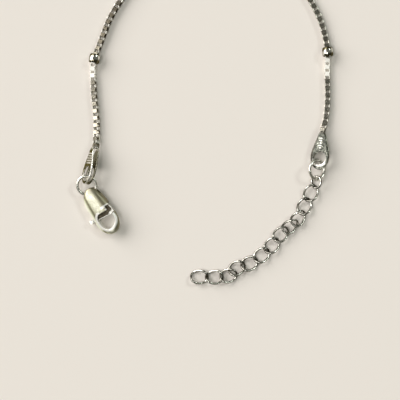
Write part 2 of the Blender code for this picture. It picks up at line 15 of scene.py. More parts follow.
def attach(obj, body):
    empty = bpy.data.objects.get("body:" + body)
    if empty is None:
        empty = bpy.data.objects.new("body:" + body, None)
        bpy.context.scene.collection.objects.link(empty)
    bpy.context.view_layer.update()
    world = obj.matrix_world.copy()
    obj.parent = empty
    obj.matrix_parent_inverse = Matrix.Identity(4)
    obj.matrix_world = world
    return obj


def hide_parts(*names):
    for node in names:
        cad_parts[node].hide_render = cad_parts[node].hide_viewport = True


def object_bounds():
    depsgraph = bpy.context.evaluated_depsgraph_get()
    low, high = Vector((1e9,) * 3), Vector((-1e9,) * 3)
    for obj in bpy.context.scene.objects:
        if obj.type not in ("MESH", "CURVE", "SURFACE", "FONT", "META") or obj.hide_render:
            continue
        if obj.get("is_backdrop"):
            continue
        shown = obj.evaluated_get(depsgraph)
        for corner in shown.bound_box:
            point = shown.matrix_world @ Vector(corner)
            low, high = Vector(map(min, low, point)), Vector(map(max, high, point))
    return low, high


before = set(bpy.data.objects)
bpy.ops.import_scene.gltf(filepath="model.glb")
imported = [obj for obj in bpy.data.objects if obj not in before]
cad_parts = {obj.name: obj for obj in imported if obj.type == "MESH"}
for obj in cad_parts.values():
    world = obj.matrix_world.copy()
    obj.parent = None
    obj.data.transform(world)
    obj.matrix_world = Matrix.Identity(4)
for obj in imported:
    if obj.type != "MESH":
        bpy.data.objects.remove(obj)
cad_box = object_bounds()

# How far packing moved the part from its source's own axes.
STAND = np.array([0.00041637, -0.0000113, 0.00001317])

# Sizes of the pieces, in metres.
CHAIN_WIDTH = 0.00125
STRIP_WIDTH = 0.00102
STRIP_THICKNESS = 0.00016
CHAIN_PITCH = 0.00083
CHAIN_CONTACT = 0.00003
END_LINK_WIDTH = 0.00135
BEAD_RADIUS = 0.0013
BEAD_HALF_LENGTH = 0.00116
BEAD_BORE = 0.000984
BEAD_RIM = 0.00005
TAG_LENGTH = 0.0092
TAG_HALF_WIDTH = 0.0021
TAG_THICKNESS = 0.00032
TAG_FOLD_RADIUS = 0.0007
TAG_END_SPREAD = 0.00043
TAG_NECK_HALF_WIDTH = 0.00023
TAG_HOLE_RADIUS = 0.0015
TAG_HOLE_CENTRE = 0.0065
TAG_NECK_GAP = 0.00025
RING_OUTER_DIAMETER = 0.0052
RING_WIRE = 0.00072
LINK_LENGTH = 0.0045
LINK_WIDTH = 0.0036
LINK_WIRE = 0.00050
LINK_TWIST = 0.0005
CONNECTOR_DIAMETER = 0.0033
RING_CUT = 0.00005
CONNECTOR_CUT = 0.00004

# Taken off the radii of rings and links, and off those of beads and the chain's half width, so
# that nothing stands outside the solids' box.
INSET = 0.000026
POLISH = 0.000012

# Points of a mesh closer than this are merged, and its edges past this angle stay sharp.
MERGE_DISTANCE = 0.0000004
SHARP_ANGLE = 60.0

# Low plain ribs across the tags' leaves: from, to, how many and how high.
RIBS_FROM = 0.0017
RIBS_TO = 0.0045
RIB_COUNT = 5
RIB_HEIGHT = 0.00006

# Wear and painted highlight of each tag: how far across its ribs it goes, the power that thins
# it along them, and the side of the leaf with the rim, a painted highlight on the left tag and a
# painted shade on the right one.
TAG_HIGHLIGHTS_AND_RIMS = ((0.0011, 1.0, 1.0), (0.00022, 2.6, -1.0))

# The stretch of chain beyond each bead that carries a painted glare.
GLARE_LENGTH = 0.0041

# Route of the chain: X, Y and its roll in degrees.
CHAIN_ROUTE = (
    (-0.02590, -0.00780, 58.0),
    (-0.02580, -0.00493, 36.0),
    (-0.02590, -0.00070, 22.0),
    (-0.02630, 0.00329, 15.0),
    (-0.02653, 0.00681, 14.0),
    (-0.02660, 0.01010, 14.0),
    (-0.02627, 0.01276, 14.0),
    (-0.02540, 0.01530, 14.0),
    (-0.02428, 0.01821, 14.0),
    (-0.02303, 0.02143, 13.0),
    (-0.02012, 0.02655, 11.0),
    (-0.01590, 0.03219, 8.0),
    (-0.00983, 0.03668, 5.0),
    (-0.00227, 0.03928, 3.0),
    (0.00660, 0.03928, 1.0),
    (0.01415, 0.03668, 0.0),
    (0.02022, 0.03219, -2.0),
    (0.02449, 0.02655, -3.0),
    (0.02712, 0.02091, -4.0),
    (0.02799, 0.01762, -4.0),
    (0.02846, 0.01433, -4.0),
    (0.02845, 0.01104, -4.0),
    (0.02846, 0.00775, -4.0),
    (0.02851, 0.00470, -4.0),
    (0.02839, 0.00141, -6.0),
    (0.02801, -0.00165, -10.0),
    (0.02733, -0.00411, -20.0),
)

# Rows of the route that lie in a tag or a bead instead of on the floor.
CHAIN_SEATS = {0: "left_tag", 6: "bead", 20: "bead", 26: "right_tag"}

# How each piece lies: X, Y, Z, heading, pitch and roll, in metres and degrees.
TAG_POSES = {
    "left_tag": (-0.02590, -0.00780, 0.00172, -104.1, 4.0, 58.0),
    "right_tag": (0.02733, -0.00411, 0.00122, -96.5, 1.9, 20.0),
}
RING_POSES = {
    "left_jump_ring": (-0.02801, -0.01694, 0.00198, -105.0, -10.2, -4.0),
    "right_jump_ring": (0.02594, -0.01330, 0.00162, -96.5, 1.8, -34.7),
}
CLASP_POSE = (-0.02761, -0.01774, 0.00166, -59.5, 0.0, 10.0)
CONNECTOR_POSE = (0.02578, -0.01621, 0.00128, -2.3, 42.3, -1.0)
LINK_POSES = (
    (-0.00163, -0.03850, 0.00076, 0.1, 0.4, -0.7),
    (0.00187, -0.03854, 0.00093, 2.1, -0.9, -10.7),
    (0.00517, -0.03821, 0.00077, 13.1, -0.8, 0.7),
    (0.00717, -0.03642, 0.00088, 30.3, 4.7, -1.1),
    (0.01013, -0.03536, 0.00074, 26.8, -0.2, -0.1),
    (0.01301, -0.03340, 0.00075, 38.6, -0.0, -0.8),
    (0.01539, -0.03114, 0.00074, 48.0, -0.1, -0.4),
    (0.01752, -0.02844, 0.00097, 46.6, 2.3, 6.4),
    (0.01974, -0.02654, 0.00117, 38.7, 3.7, 26.4),
    (0.02164, -0.02467, 0.00116, 53.1, 0.4, 22.5),
    (0.02308, -0.02190, 0.00075, 62.9, -0.3, 0.4),
    (0.02457, -0.01878, 0.00089, 63.2, -0.2, 1.0),
)

# Outline of a tag's leaf: shares of its length and of its half width.
TAG_OUTLINE = (
    (0.17, 0.44),
    (0.32, 0.64),
    (0.46, 0.83),
    (0.57, 0.95),
    (0.67, 1.00),
    (0.76, 0.97),
    (0.84, 0.87),
    (0.91, 0.70),
    (0.96, 0.49),
    (0.99, 0.26),
    (1.00, 0.0),
)


# placing and meshes


def pose(x, y, z, heading, pitch, roll):
    """Frame whose X axis points along the heading, raised by the pitch, then rolled."""
    turn = Matrix.Rotation(math.radians(heading), 4, "Z")
    raise_nose = Matrix.Rotation(-math.radians(pitch), 4, "Y")
    lean = Matrix.Rotation(math.radians(roll), 4, "X")
    place = Matrix.Translation((x + STAND[0], y + STAND[1], z + STAND[2]))
    return np.array(place @ turn @ raise_nose @ lean)


def put(points, matrix):
    """Points moved from a piece's own frame into the part's: the matrix times each of them."""
    return points @ matrix[:3, :3].T + matrix[:3, 3]


def unit(vectors):
    """Each vector divided by its own length."""
    return vectors / np.linalg.norm(vectors, axis=-1, keepdims=True)


def grid_faces(rows, columns, wrap_rows=False, wrap_columns=False):
    """Quads of a grid of points: each cell's corner and its neighbours by row and column."""
    row = np.arange(rows if wrap_rows else rows - 1)[:, None]
    column = np.arange(columns if wrap_columns else columns - 1)[None, :]
    below = (row + 1) % rows
    beside = (column + 1) % columns
    start, end = row * columns, below * columns
    quads = np.broadcast_arrays(start + column, start + beside, end + beside, end + column)
    return np.stack(quads, -1).reshape(-1, 4)


def solid(name, points, faces, marks=None):
    """Mesh object of arrays: doubles merged, flat faces dropped, and faces turned outwards.

    The marks are numbers kept on the points by name, for a material to read.
    """
    mesh = bpy.data.meshes.new(name)
    mesh.from_pydata(points.reshape(-1, 3).tolist(), [], faces.tolist())
    keep_marks(mesh, marks)
    work = bmesh.new()
    work.from_mesh(mesh)
    bmesh.ops.remove_doubles(work, verts=work.verts, dist=MERGE_DISTANCE)
    bmesh.ops.dissolve_degenerate(work, edges=work.edges, dist=MERGE_DISTANCE)
    bmesh.ops.recalc_face_normals(work, faces=work.faces)
    work.to_mesh(mesh)
    work.free()
    mesh.shade_smooth()
    return add_object(name, mesh)


def add_object(name, data):
    """New object of a mesh, a light or a camera, in the scene."""
    item = bpy.data.objects.new(name, data)
    bpy.context.scene.collection.objects.link(item)
    return item


def keep_marks(mesh, marks):
    """Keep named numbers on a mesh's points, one for each point."""
    for name, values in (marks or {}).items():
        layer = mesh.attributes.new(name, "FLOAT", "POINT")
        layer.data.foreach_set("value", np.ascontiguousarray(values, np.float32).ravel())


def step(low, high, values):
    """Smooth step of an array: nothing below low, one above high, a cubic between."""
    share = np.clip((values - low) / (high - low), 0.0, 1.0)
    return share * share * (3.0 - 2.0 * share)


def join(grids):
    """Points and faces of several grids, each given as points and faces, in one pair of arrays."""
    starts = np.cumsum([0] + [points.reshape(-1, 3).shape[0] for points, _ in grids])
    points = np.concatenate([points.reshape(-1, 3) for points, _ in grids])
    faces = np.concatenate([faces + start for (_, faces), start in zip(grids, starts)])
    return points, faces


def finish_piece(item, material, node, body="bracelet"):
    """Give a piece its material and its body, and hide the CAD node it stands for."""
    item.data.materials.clear()
    item.data.materials.append(material)
    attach(item, body)
    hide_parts(node)
    return item


# wire

# Share of a wire's thickness that its cut ends' rounding takes.
CUT_ROUNDING = 0.12

# Sides of a curb link's wire and of the connector's.
LINK_SIDES = 14
CONNECTOR_SIDES = 16

# Links' crown, worn and painted highlight, and their flanks and ends in painted shade: the share
# of the wire's height where the bright crown starts and is full, the share of a link's length
# where the painted shade at its ends starts and is full, what that shade takes off, and the
# connector's bright crown.
CROWN = (0.40, 0.98)
LINK_END = (0.50, 0.95)
LINK_END_SHADE = 0.75
CONNECTOR_WEAR_AND_HIGHLIGHT = 0.7


def round_turn(count):
    """So many equal angles of a whole turn."""
    return np.linspace(0.0, 2.0 * np.pi, count, endpoint=False)


def wire_grid(path, radius, sides):
    """Round wire on a closed path: at each point a circle in the plane across the path.

    The circle's two axes are the path's tangent crossed with Z, and that crossed with the
    tangent.
    """
    tangent = unit(np.roll(path, -1, 0) - np.roll(path, 1, 0))
    side = unit(np.cross(tangent, (0.0, 0.0, 1.0)))
    upward = np.cross(side, tangent)
    turn = round_turn(sides)[None, :, None]
    circle = np.cos(turn) * side[:, None] + np.sin(turn) * upward[:, None]
    return path[:, None] + radius * circle, grid_faces(len(path), sides, True, True)


def cut_ring_grid(mean_radius, wire, gap, around=96, sides=24):
    """Bent ring with a butt joint: a circle swept round Z from one side of the cut to the other.

    Each cut end is a flat disc whose rim follows a quarter round into the wire's full radius.
    """
    edge = CUT_ROUNDING * wire
    ease = np.linspace(0.0, np.pi / 2.0, 5)
    inset = np.concatenate(([0.0, 0.0], edge * (1.0 - np.cos(ease))))
    disc_radius = wire / 2.0 - edge
    shrink = np.concatenate(([0.0, disc_radius], disc_radius + edge * np.sin(ease)))
    half = np.pi - gap / mean_radius / 2.0
    start = -half + inset / mean_radius
    middle = np.linspace(start[-1], -start[-1], around)[1:-1]
    turn = np.concatenate((start, middle, -start[::-1]))
    thick = np.concatenate((shrink, np.full(around - 2, wire / 2.0), shrink[::-1]))
    out = np.stack((np.cos(turn), np.sin(turn), np.zeros_like(turn)), -1)
    spin = round_turn(sides)[None, :, None]
    across = np.cos(spin) * out[:, None] + np.sin(spin) * np.array((0.0, 0.0, 1.0))
    points = mean_radius * out[:, None] + thick[:, None, None] * across
    return points, grid_faces(len(turn), sides, False, True)


def curb_path(count=72):
    """Twisted oval: cosine along, sine across, and the sine of twice the turn upwards."""
    turn = round_turn(count)
    along = ((LINK_LENGTH - LINK_WIRE) / 2.0 - INSET) * np.cos(turn)
    across = ((LINK_WIDTH - LINK_WIRE) / 2.0 - INSET) * np.sin(turn)
    return np.stack((along, across, LINK_TWIST * np.sin(2.0 * turn)), -1)


def crown(sides):
    """One on top of a round wire's section and under it, fading to nothing at its flanks."""
    return step(*CROWN, np.abs(np.sin(round_turn(sides))))


def make_rings(ring_silver, link_silver):
    """Both jump rings, the connector link and the twelve curb links.

    Wear-and-highlight is one on top of a link's wire along its sides: a worn and painted
    highlight. It is less at the wire's flanks and at the link's ends, in painted shade, and on
    the connector.
    """
    mean = (RING_OUTER_DIAMETER - RING_WIRE) / 2.0 - INSET
    points, faces = cut_ring_grid(mean, RING_WIRE, RING_CUT)
    for node, values in RING_POSES.items():
        name = node.replace("jump_ring", "ring_of_round_wire")
        finish_piece(solid(name, put(points, pose(*values)), faces), ring_silver, node)
    small = (CONNECTOR_DIAMETER - LINK_WIRE) / 2.0 - INSET
    points, faces = cut_ring_grid(small, LINK_WIRE, CONNECTOR_CUT, 72, CONNECTOR_SIDES)
    # Bright crown of the connector: wear and painted highlight; its flanks in painted shade.
    worn_and_lit = CONNECTOR_WEAR_AND_HIGHLIGHT * crown(CONNECTOR_SIDES)
    marks = {"wear_and_highlight": np.broadcast_to(worn_and_lit, points.shape[:2])}
    item = solid("connector_of_round_wire", put(points, pose(*CONNECTOR_POSE)), faces, marks)
    finish_piece(item, link_silver, "connector_link")
    points, faces = wire_grid(curb_path(), LINK_WIRE / 2.0, LINK_SIDES)
    # Painted shade at the ends, where links interlock, and on the flanks; painted highlight on the
    # crown.
    ends = step(*LINK_END, np.abs(points[..., 0]) / (LINK_LENGTH / 2.0))
    marks = {"wear_and_highlight": (1.0 - LINK_END_SHADE * ends) * crown(LINK_SIDES)}
    for number, values in enumerate(LINK_POSES, start=1):
        item = solid(f"curb_link_{number:02d}", put(points, pose(*values)), faces, marks)
        finish_piece(item, link_silver, f"extender_link_{number:02d}")


# chain

# Cut of a link's corners, the share of its long sides between their two extra points, and the
# share of the strip's half width where its edges' bevel starts.
LINK_CORNER = 0.00010
LINK_MIDDLE = 0.55
STRIP_EDGE = 0.94

# Points of the chain's dense route.
ROUTE_POINTS = 1600

# Wear and painted highlight of the two links that hold the tags, and the angle past which a
# link's edges stay sharp.
END_LINK_WEAR_AND_HIGHLIGHT = 0.4
LINK_SHARP_ANGLE = 40.0


def natural_spline(knots, values, at):
    """Natural cubic spline: each span's cubic from its end values and second derivatives."""
    steps = np.diff(knots)
    count = len(knots)
    inner = np.arange(1, count - 1)
    system = np.eye(count)
    system[inner, inner - 1] = steps[:-1]
    system[inner, inner] = 2.0 * (steps[:-1] + steps[1:])
    system[inner, inner + 1] = steps[1:]
    slopes = np.diff(values, axis=0) / steps[:, None]
    right = np.zeros((count, values.shape[1]))
    right[1:-1] = 6.0 * np.diff(slopes, axis=0)
    bends = np.linalg.solve(system, right)
    piece = np.clip(np.searchsorted(knots, at) - 1, 0, count - 2)
    width = steps[piece][:, None]
    after = (at - knots[piece])[:, None]
    before = width - after
    return (
        bends[piece] * before**3 / (6.0 * width)
        + bends[piece + 1] * after**3 / (6.0 * width)
        + (values[piece] / width - bends[piece] * width / 6.0) * before
        + (values[piece + 1] / width - bends[piece + 1] * width / 6.0) * after
    )


def chord_knots(points):
    """Distance along a run of points, summed from the first."""
    return np.concatenate(([0.0], np.cumsum(np.linalg.norm(np.diff(points, axis=0), axis=1))))


def read_along(stops, travel, rows):
    """Rows read at distances along a run, by straight interpolation of each column."""
    return np.stack([np.interp(stops, travel, column) for column in rows.T], -1)


def resting_height(roll):
    """Height of the chain's middle: half its width times the sum of the roll's cosine and sine."""
    return CHAIN_WIDTH / 2.0 * (np.abs(np.cos(roll)) + np.abs(np.sin(roll)))


def chain_route():
    """Dense route of the chain: distance along it, then place and roll in one array."""
    table = np.array([(x, y, 0.0, math.radians(roll)) for x, y, roll in CHAIN_ROUTE])
    table[:, 2] = resting_height(table[:, 3])
    for row, seat in CHAIN_SEATS.items():
        table[row, 2] = TAG_POSES[seat][2] if seat in TAG_POSES else BEAD_RADIUS
    knots = chord_knots(table[:, :2])
    fine = natural_spline(knots, table, np.linspace(0.0, knots[-1], ROUTE_POINTS))
    fine[:, 2] = np.maximum(fine[:, 2], resting_height(fine[:, 3]))
    return chord_knots(fine[:, :3]), fine


def frames_on_route(route, distance):
    """Places and axes on the route: along the chain, across it, and its rolled face normal."""
    here = read_along(distance, *route)
    ahead = read_along(distance + CHAIN_PITCH / 2.0, *route)
    behind = read_along(distance - CHAIN_PITCH / 2.0, *route)
    roll = here[:, 3:]
    forward = unit(ahead[:, :3] - behind[:, :3])
    side = unit(np.cross(forward, (0.0, 0.0, 1.0)))
    normal = np.cross(side, forward) * np.cos(roll) - side * np.sin(roll)
    return here[:, :3], np.stack((forward, np.cross(normal, forward), normal), -1)


def link_points(start, end, width):
    """One link of the chain, a strip bent into a square ring round its Y axis.

    The path is the square's sides with each corner cut, and each long side carries two more
    points. The section is the strip's, with bevelled edges. Returns the points and two numbers
    for each: the first is one in the middle of the long sides, the second on the short sides.
    """
    inset = STRIP_THICKNESS / 2.0
    low, high, half = start + inset, end - inset, width / 2.0 - inset
    middle = (low + high) / 2.0
    inner = LINK_MIDDLE * (high - low) / 2.0
    along = (low + LINK_CORNER, middle - inner, middle + inner, high - LINK_CORNER)
    side = tuple(zip(along, (0.0, 1.0, 1.0, 0.0)))
    reach = half - LINK_CORNER
    path = np.array(
        [(x, -half, inside) for x, inside in side]
        + [(high, -reach, 0.0), (high, reach, 0.0)]
        + [(x, half, inside) for x, inside in side[::-1]]
        + [(low, reach, 0.0), (low, -reach, 0.0)]
    )
    directions = ((0.0, -1.0), (1.0, 0.0), (0.0, 1.0), (-1.0, 0.0))
    sides = np.repeat(directions, (4, 2, 4, 2), axis=0)
    mitre = math.tan(math.radians(22.5))
    ends = mitre * np.array([-1.0, 0.0, 0.0, 1.0])
    sides[:4, 0], sides[6:10, 0] = ends, ends[::-1]
    sides[4:6, 1], sides[10:, 1] = (-mitre, mitre), (mitre, -mitre)
    face = ((1.0, -STRIP_EDGE), (1.0, STRIP_EDGE), (0.0, 1.0))
    section = np.concatenate((face, np.negative(face)))
    spread = path[:, None, :2] + sides[:, None, :] * section[None, :, :1] * inset
    across = np.broadcast_to(section[None, :, 1] * STRIP_WIDTH / 2.0, spread.shape[:2])
    inside = np.broadcast_to(path[:, None, 2], spread.shape[:2])
    end_bar = np.broadcast_to((np.abs(sides) > 0.9)[:, None, 0], spread.shape[:2])
    return np.stack((spread[..., 0], across, spread[..., 1]), -1), inside, end_bar


def make_chain(material):
    """Box chain: one link shape placed at every step of the route, every second one turned.

    Wear-and-highlight, worn and painted highlight, is one on the short sides of the unturned
    links, and in the middle of the turned links' long sides. The painted glare is one along a
    stretch on each bead's tag side.
    """
    route = chain_route()
    first = TAG_THICKNESS / 2.0 + TAG_NECK_GAP
    free = route[0][-1] - 2.0 * first - 2.0 * STRIP_THICKNESS + CHAIN_CONTACT
    count = 2 * int(free / CHAIN_PITCH / 2.0) + 1
    pitch = free / count
    half = (pitch + 2.0 * STRIP_THICKNESS - CHAIN_CONTACT) / 2.0
    at = first + half + np.arange(count) * pitch
    place, axes = frames_on_route(route, at)
    shape, inside, end_bar = link_points(-half, half, CHAIN_WIDTH - 2.0 * POLISH)
    turned = np.stack((shape[..., 0], shape[..., 2], shape[..., 1]), -1)
    every_second = (np.arange(count) % 2 == 0)[:, None, None]
    local = np.where(every_second[..., None], turned, shape)
    points = np.einsum("nij,nrcj->nrci", axes, local) + place[:, None, None] + STAND
    # Bright short sides and middles, the glints of the bars: wear and painted highlight.
    wear_and_highlight = np.where(every_second, inside, 1.0 * end_bar)
    beads = bead_places(route)
    # A painted glare on a stretch beyond each bead.
    beyond = np.stack((beads[0] - at, at - beads[1])) - BEAD_HALF_LENGTH
    glared_links = ((beyond > -pitch) & (beyond < GLARE_LENGTH)).any(0)
    painted_glare = np.broadcast_to(glared_links[:, None, None], wear_and_highlight.shape)
    faces = grid_faces(*shape.shape[:2], True, True)
    grids = [(link, faces) for link in points]
    end_from = first + STRIP_THICKNESS
    end_to = first + 2.0 * STRIP_THICKNESS - CHAIN_CONTACT
    end, _, _ = link_points(-end_from, end_to, END_LINK_WIDTH)
    about = np.diag((-1.0, -1.0, 1.0, 1.0))
    grids.append((put(end, pose(*TAG_POSES["left_tag"]) @ about), faces))
    grids.append((put(end * (-1.0, 1.0, 1.0), pose(*TAG_POSES["right_tag"])), faces))
    points, faces = join(grids)
    bare = np.zeros(2 * shape[..., 0].size)
    marks = {"wear_and_highlight": np.append(wear_and_highlight, bare + END_LINK_WEAR_AND_HIGHLIGHT), "painted_glare": np.append(painted_glare, bare)}
    item = solid("chain_of_box_links", points, faces, marks)
    sharpen(item, LINK_SHARP_ANGLE)
    return finish_piece(item, material, "box_chain")


def bead_places(route):
    """Distance along the route of the point nearest to each bead's seat."""
    seats = np.array([CHAIN_ROUTE[row][:2] for row, seat in CHAIN_SEATS.items() if seat == "bead"])
    away = np.linalg.norm(route[1][None, :, :2] - seats[:, None], axis=-1)
    return route[0][away.argmin(1)]


def sharpen(item, angle):
    """Keep the edges that are sharper than the angle, in degrees, sharp in smooth shading."""
    item.data.set_sharp_from_angle(angle=math.radians(angle))


# beads

BEAD_SIDES = 56
BEAD_ROWS = 29
BEAD_END_ROUNDING = 0.00012

# Slant of a bead's painted highlight band, and the shares of its half length where it starts to
# fade and ends.
BAND_SLANT = 0.35
BAND_FADE = (0.22, 0.62)


def make_beads(material):
    """Barrel beads: a half ellipse and the bore's straight side, turned about the chain.

    Wear-and-highlight is one along a slanted band round a bead's middle, a painted highlight;
    the ends fall to painted shade.
    """
    route = chain_route()
    rim = BEAD_BORE + BEAD_RIM
    lean = np.linspace(-np.pi / 2.0, np.pi / 2.0, BEAD_ROWS)
    swell = rim + (BEAD_RADIUS - POLISH - rim) * np.cos(lean)
    reach = BEAD_HALF_LENGTH - BEAD_END_ROUNDING
    outside = np.stack((swell, reach * np.sin(lean)), -1)
    inside = np.array([(BEAD_BORE, reach - BEAD_RIM), (BEAD_BORE, BEAD_RIM - reach)])
    profile = np.concatenate((outside, inside))
    turn = round_turn(BEAD_SIDES)[:, None]
    along = np.broadcast_to(profile[:, 1], (BEAD_SIDES, len(profile)))
    local = np.stack((along, profile[:, 0] * np.cos(turn), profile[:, 0] * np.sin(turn)), -1)
    faces = grid_faces(BEAD_SIDES, len(profile), True, True)
    # A painted highlight band round the middle; painted shade towards the ends.
    band = local[..., 0] / BEAD_HALF_LENGTH + BAND_SLANT * local[..., 1] / BEAD_RADIUS
    marks = {"wear_and_highlight": 1.0 - step(*BAND_FADE, np.abs(band))}
    seats, axes = frames_on_route(route, bead_places(route))
    for node, seat, bead_axes in zip(("left_bead", "right_bead"), seats, axes):
        points = local @ bead_axes.T + seat + STAND
        item = solid(node.replace("bead", "barrel"), points, faces, marks)
        sharpen(item, SHARP_ANGLE)
        finish_piece(item, material, node)


# tags

# Rows of the half leaf before its hole, round it and past it, points of its edge's spline, and
# columns of its flat field and of each rounded edge.
LEAF_ROWS = (70, 48, 26)
LEAF_POINTS = 800
FIELD_COLUMNS = 7
ROUNDING_COLUMNS = 5

# Share of the leaf's half width at the fold's end, and where the outer edge's rows leave the
# hole, in its radii.
FOLD_WIDTH = 0.3
PAST_HOLE = 1.1

# Rounding of the strip's edges as a share of half its thickness, the most of a narrow row
# that it takes, and where the inner edge stops before the tip.
TAG_ROUNDING = 0.62
NARROW_ROUNDING = 0.45
TAG_TIP = 0.00012

# How far from the middle line the ribs start to fade and end.
RIB_FADE = (0.00045, 0.00065)

# Wear and painted light of a tag: fading of its rim by share of its half width, of its fold by
# distance, of its hole's edge by share of the hole's radius, and of the ribs' ends by distance.
RIM_FADE = (0.66, 0.88)
FOLD_FADE = (0.0004, 0.0012)
HOLE_FADE = (1.04, 1.16)
RIB_HIGHLIGHT_FADE = 0.00022

# The hole's far side, in its radii past its middle: where its wear and painted highlight
# widens, by how much, where it becomes full, and its strength before that.
HOLE_WIDENS = (0.3, 1.0)
HOLE_WIDENING = 0.28
HOLE_FILLS = (-0.1, 0.6)
HOLE_NEAR_HIGHLIGHT = 0.45


def leaf_rails():
    """Flat half leaf in strip coordinates: its outer edge and its inner edge, row by row.

    The outer edge is a spline through the outline. The inner edge runs along the middle line,
    round the hole's half circle, and on to the tip. Each comes with its normal, into the metal,
    and the rows on the hole's rim come last.
    """
    fold = TAG_FOLD_RADIUS * np.pi / 2.0
    shift = fold - TAG_FOLD_RADIUS
    shares = np.array(TAG_OUTLINE)
    neck_along = np.array((0.0, 0.5 * fold, fold))
    neck_half = np.array((TAG_NECK_HALF_WIDTH, TAG_NECK_HALF_WIDTH, FOLD_WIDTH * TAG_HALF_WIDTH))
    neck = np.stack((neck_along, neck_half), -1)
    leaf = np.stack((shares[:, 0] * TAG_LENGTH + shift, shares[:, 1] * TAG_HALF_WIDTH), -1)
    knots = np.concatenate((neck, leaf))
    along = chord_knots(knots)
    dense = natural_spline(along, knots, np.linspace(0.0, along[-1], LEAF_POINTS))
    dense[:, 1] = np.maximum(dense[:, 1], 0.0)
    hole = TAG_HOLE_CENTRE + shift
    before, around, after = LEAF_ROWS
    swing = np.linspace(0.0, np.pi, around)
    to_hole = np.linspace(0.0, hole - TAG_HOLE_RADIUS, before)
    to_tip = np.linspace(hole + TAG_HOLE_RADIUS, TAG_LENGTH + shift - TAG_TIP, after)
    round_hole = (hole - TAG_HOLE_RADIUS * np.cos(swing), TAG_HOLE_RADIUS * np.sin(swing))
    inner = np.concatenate(
        (
            np.stack((to_hole, np.zeros(before)), -1)[:-1],
            np.stack(round_hole, -1),
            np.stack((to_tip, np.zeros(after)), -1)[1:],
        )
    )
    travel = chord_knots(dense)
    past_hole = np.interp(hole + PAST_HOLE * TAG_HOLE_RADIUS, dense[:, 0], travel)
    at_hole = np.interp(to_hole, dense[:, 0], travel)
    stops = np.concatenate(
        (
            at_hole[:-1],
            np.linspace(at_hole[-1], past_hole, around),
            np.linspace(past_hole, travel[-1], after)[1:],
        )
    )
    outer = read_along(stops, travel, dense)
    heading = np.gradient(outer, axis=0)
    inward = unit(np.stack((heading[:, 1], -heading[:, 0]), -1))
    inward[-1] = (-1.0, 0.0)
    outward = np.zeros_like(inner)
    outward[:, 1] = 1.0
    rim = unit(inner - (hole, 0.0))
    on_rim = slice(before - 1, before - 1 + around)
    outward[on_rim] = rim[on_rim]
    return outer, inward, inner, outward, on_rim


def tag_grid():
    """Whole tag: the half leaf's rails joined by a strip section, mirrored twice and bent.

    Across each row the section is flat, with quarter-round edges. Bending turns the strip's
    first stretch round the fold and leaves the rest straight.
    """
    outer, inward, inner, outward, on_rim = leaf_rails()
    half = TAG_THICKNESS / 2.0
    edge = TAG_ROUNDING * half
    ease = np.linspace(0.0, np.pi / 2.0, ROUNDING_COLUMNS)
    rows = len(outer)
    drop = edge * (1.0 - np.sin(ease))
    height = half - edge + edge * np.cos(ease)
    room = np.linalg.norm(outer - inner, axis=1)
    outer_edge = np.minimum(1.0, NARROW_ROUNDING * room / edge)[:, None]
    inner_edge = np.zeros((rows, 1))
    inner_edge[on_rim] = 1.0
    inner_edge = np.minimum(inner_edge, outer_edge)
    crest = inner[:, None] + outward[:, None] * (inner_edge * drop[::-1])[..., None]
    brink = outer[:, None] + inward[:, None] * (outer_edge * drop)[..., None]
    share = np.linspace(0.0, 1.0, FIELD_COLUMNS + 2)[1:-1][None, :, None]
    field = crest[:, -1:] * (1.0 - share) + brink[:, :1] * share
    flat = np.concatenate((crest, field, brink), 1)
    section = np.concatenate((height[::-1], np.full(FIELD_COLUMNS, half), height))
    up = section + rib_height(flat)
    loop = np.concatenate((flat, flat[:, ::-1]), 1)
    lift = np.concatenate((up, -np.where(up > half, half, up)[:, ::-1]), 1)
    faces = grid_faces(rows, loop.shape[1], False, True)
    wall = loop[..., 1].reshape(-1)[faces]
    faces = faces[np.abs(wall).max(1) > 1e-9]
    rail = np.stack((loop[..., 0], loop[..., 1], lift), -1)
    mirrored = rail * (1.0, -1.0, 1.0)
    leaves = []
    for strip in (rail, mirrored):
        bent = bend_strip(strip)
        leaves.append((bent, faces))
        leaves.append((bent * (1.0, 1.0, -1.0), faces))
    return join(leaves)


def rib_height(flat):
    """Low plain ribs across the leaf: a squared sine along it, fading out before its edges."""
    shift = TAG_FOLD_RADIUS * (np.pi / 2.0 - 1.0)
    start, end, count = RIBS_FROM + shift, RIBS_TO + shift, RIB_COUNT
    share = (flat[..., 0] - start) / (end - start)
    inside = (share > 0.0) & (share < 1.0)
    fade = 1.0 - step(*RIB_FADE, np.abs(flat[..., 1]))
    return np.where(inside, RIB_HEIGHT * np.sin(np.pi * count * share) ** 2 * fade, 0.0)


def bend_strip(strip):
    """Strip coordinates to space: a quarter circle up to the fold's end, then a straight leaf."""
    fold = TAG_FOLD_RADIUS * np.pi / 2.0
    turn = np.minimum(strip[..., 0], fold) / TAG_FOLD_RADIUS
    straight = np.maximum(strip[..., 0] - fold, 0.0)
    slope = (TAG_END_SPREAD - TAG_FOLD_RADIUS) / (TAG_LENGTH - TAG_FOLD_RADIUS)
    reach = TAG_FOLD_RADIUS + strip[..., 2]
    x = TAG_FOLD_RADIUS - reach * np.cos(turn) + straight
    z = reach * np.sin(turn) + slope * straight
    return np.stack((x, strip[..., 1], z), -1)


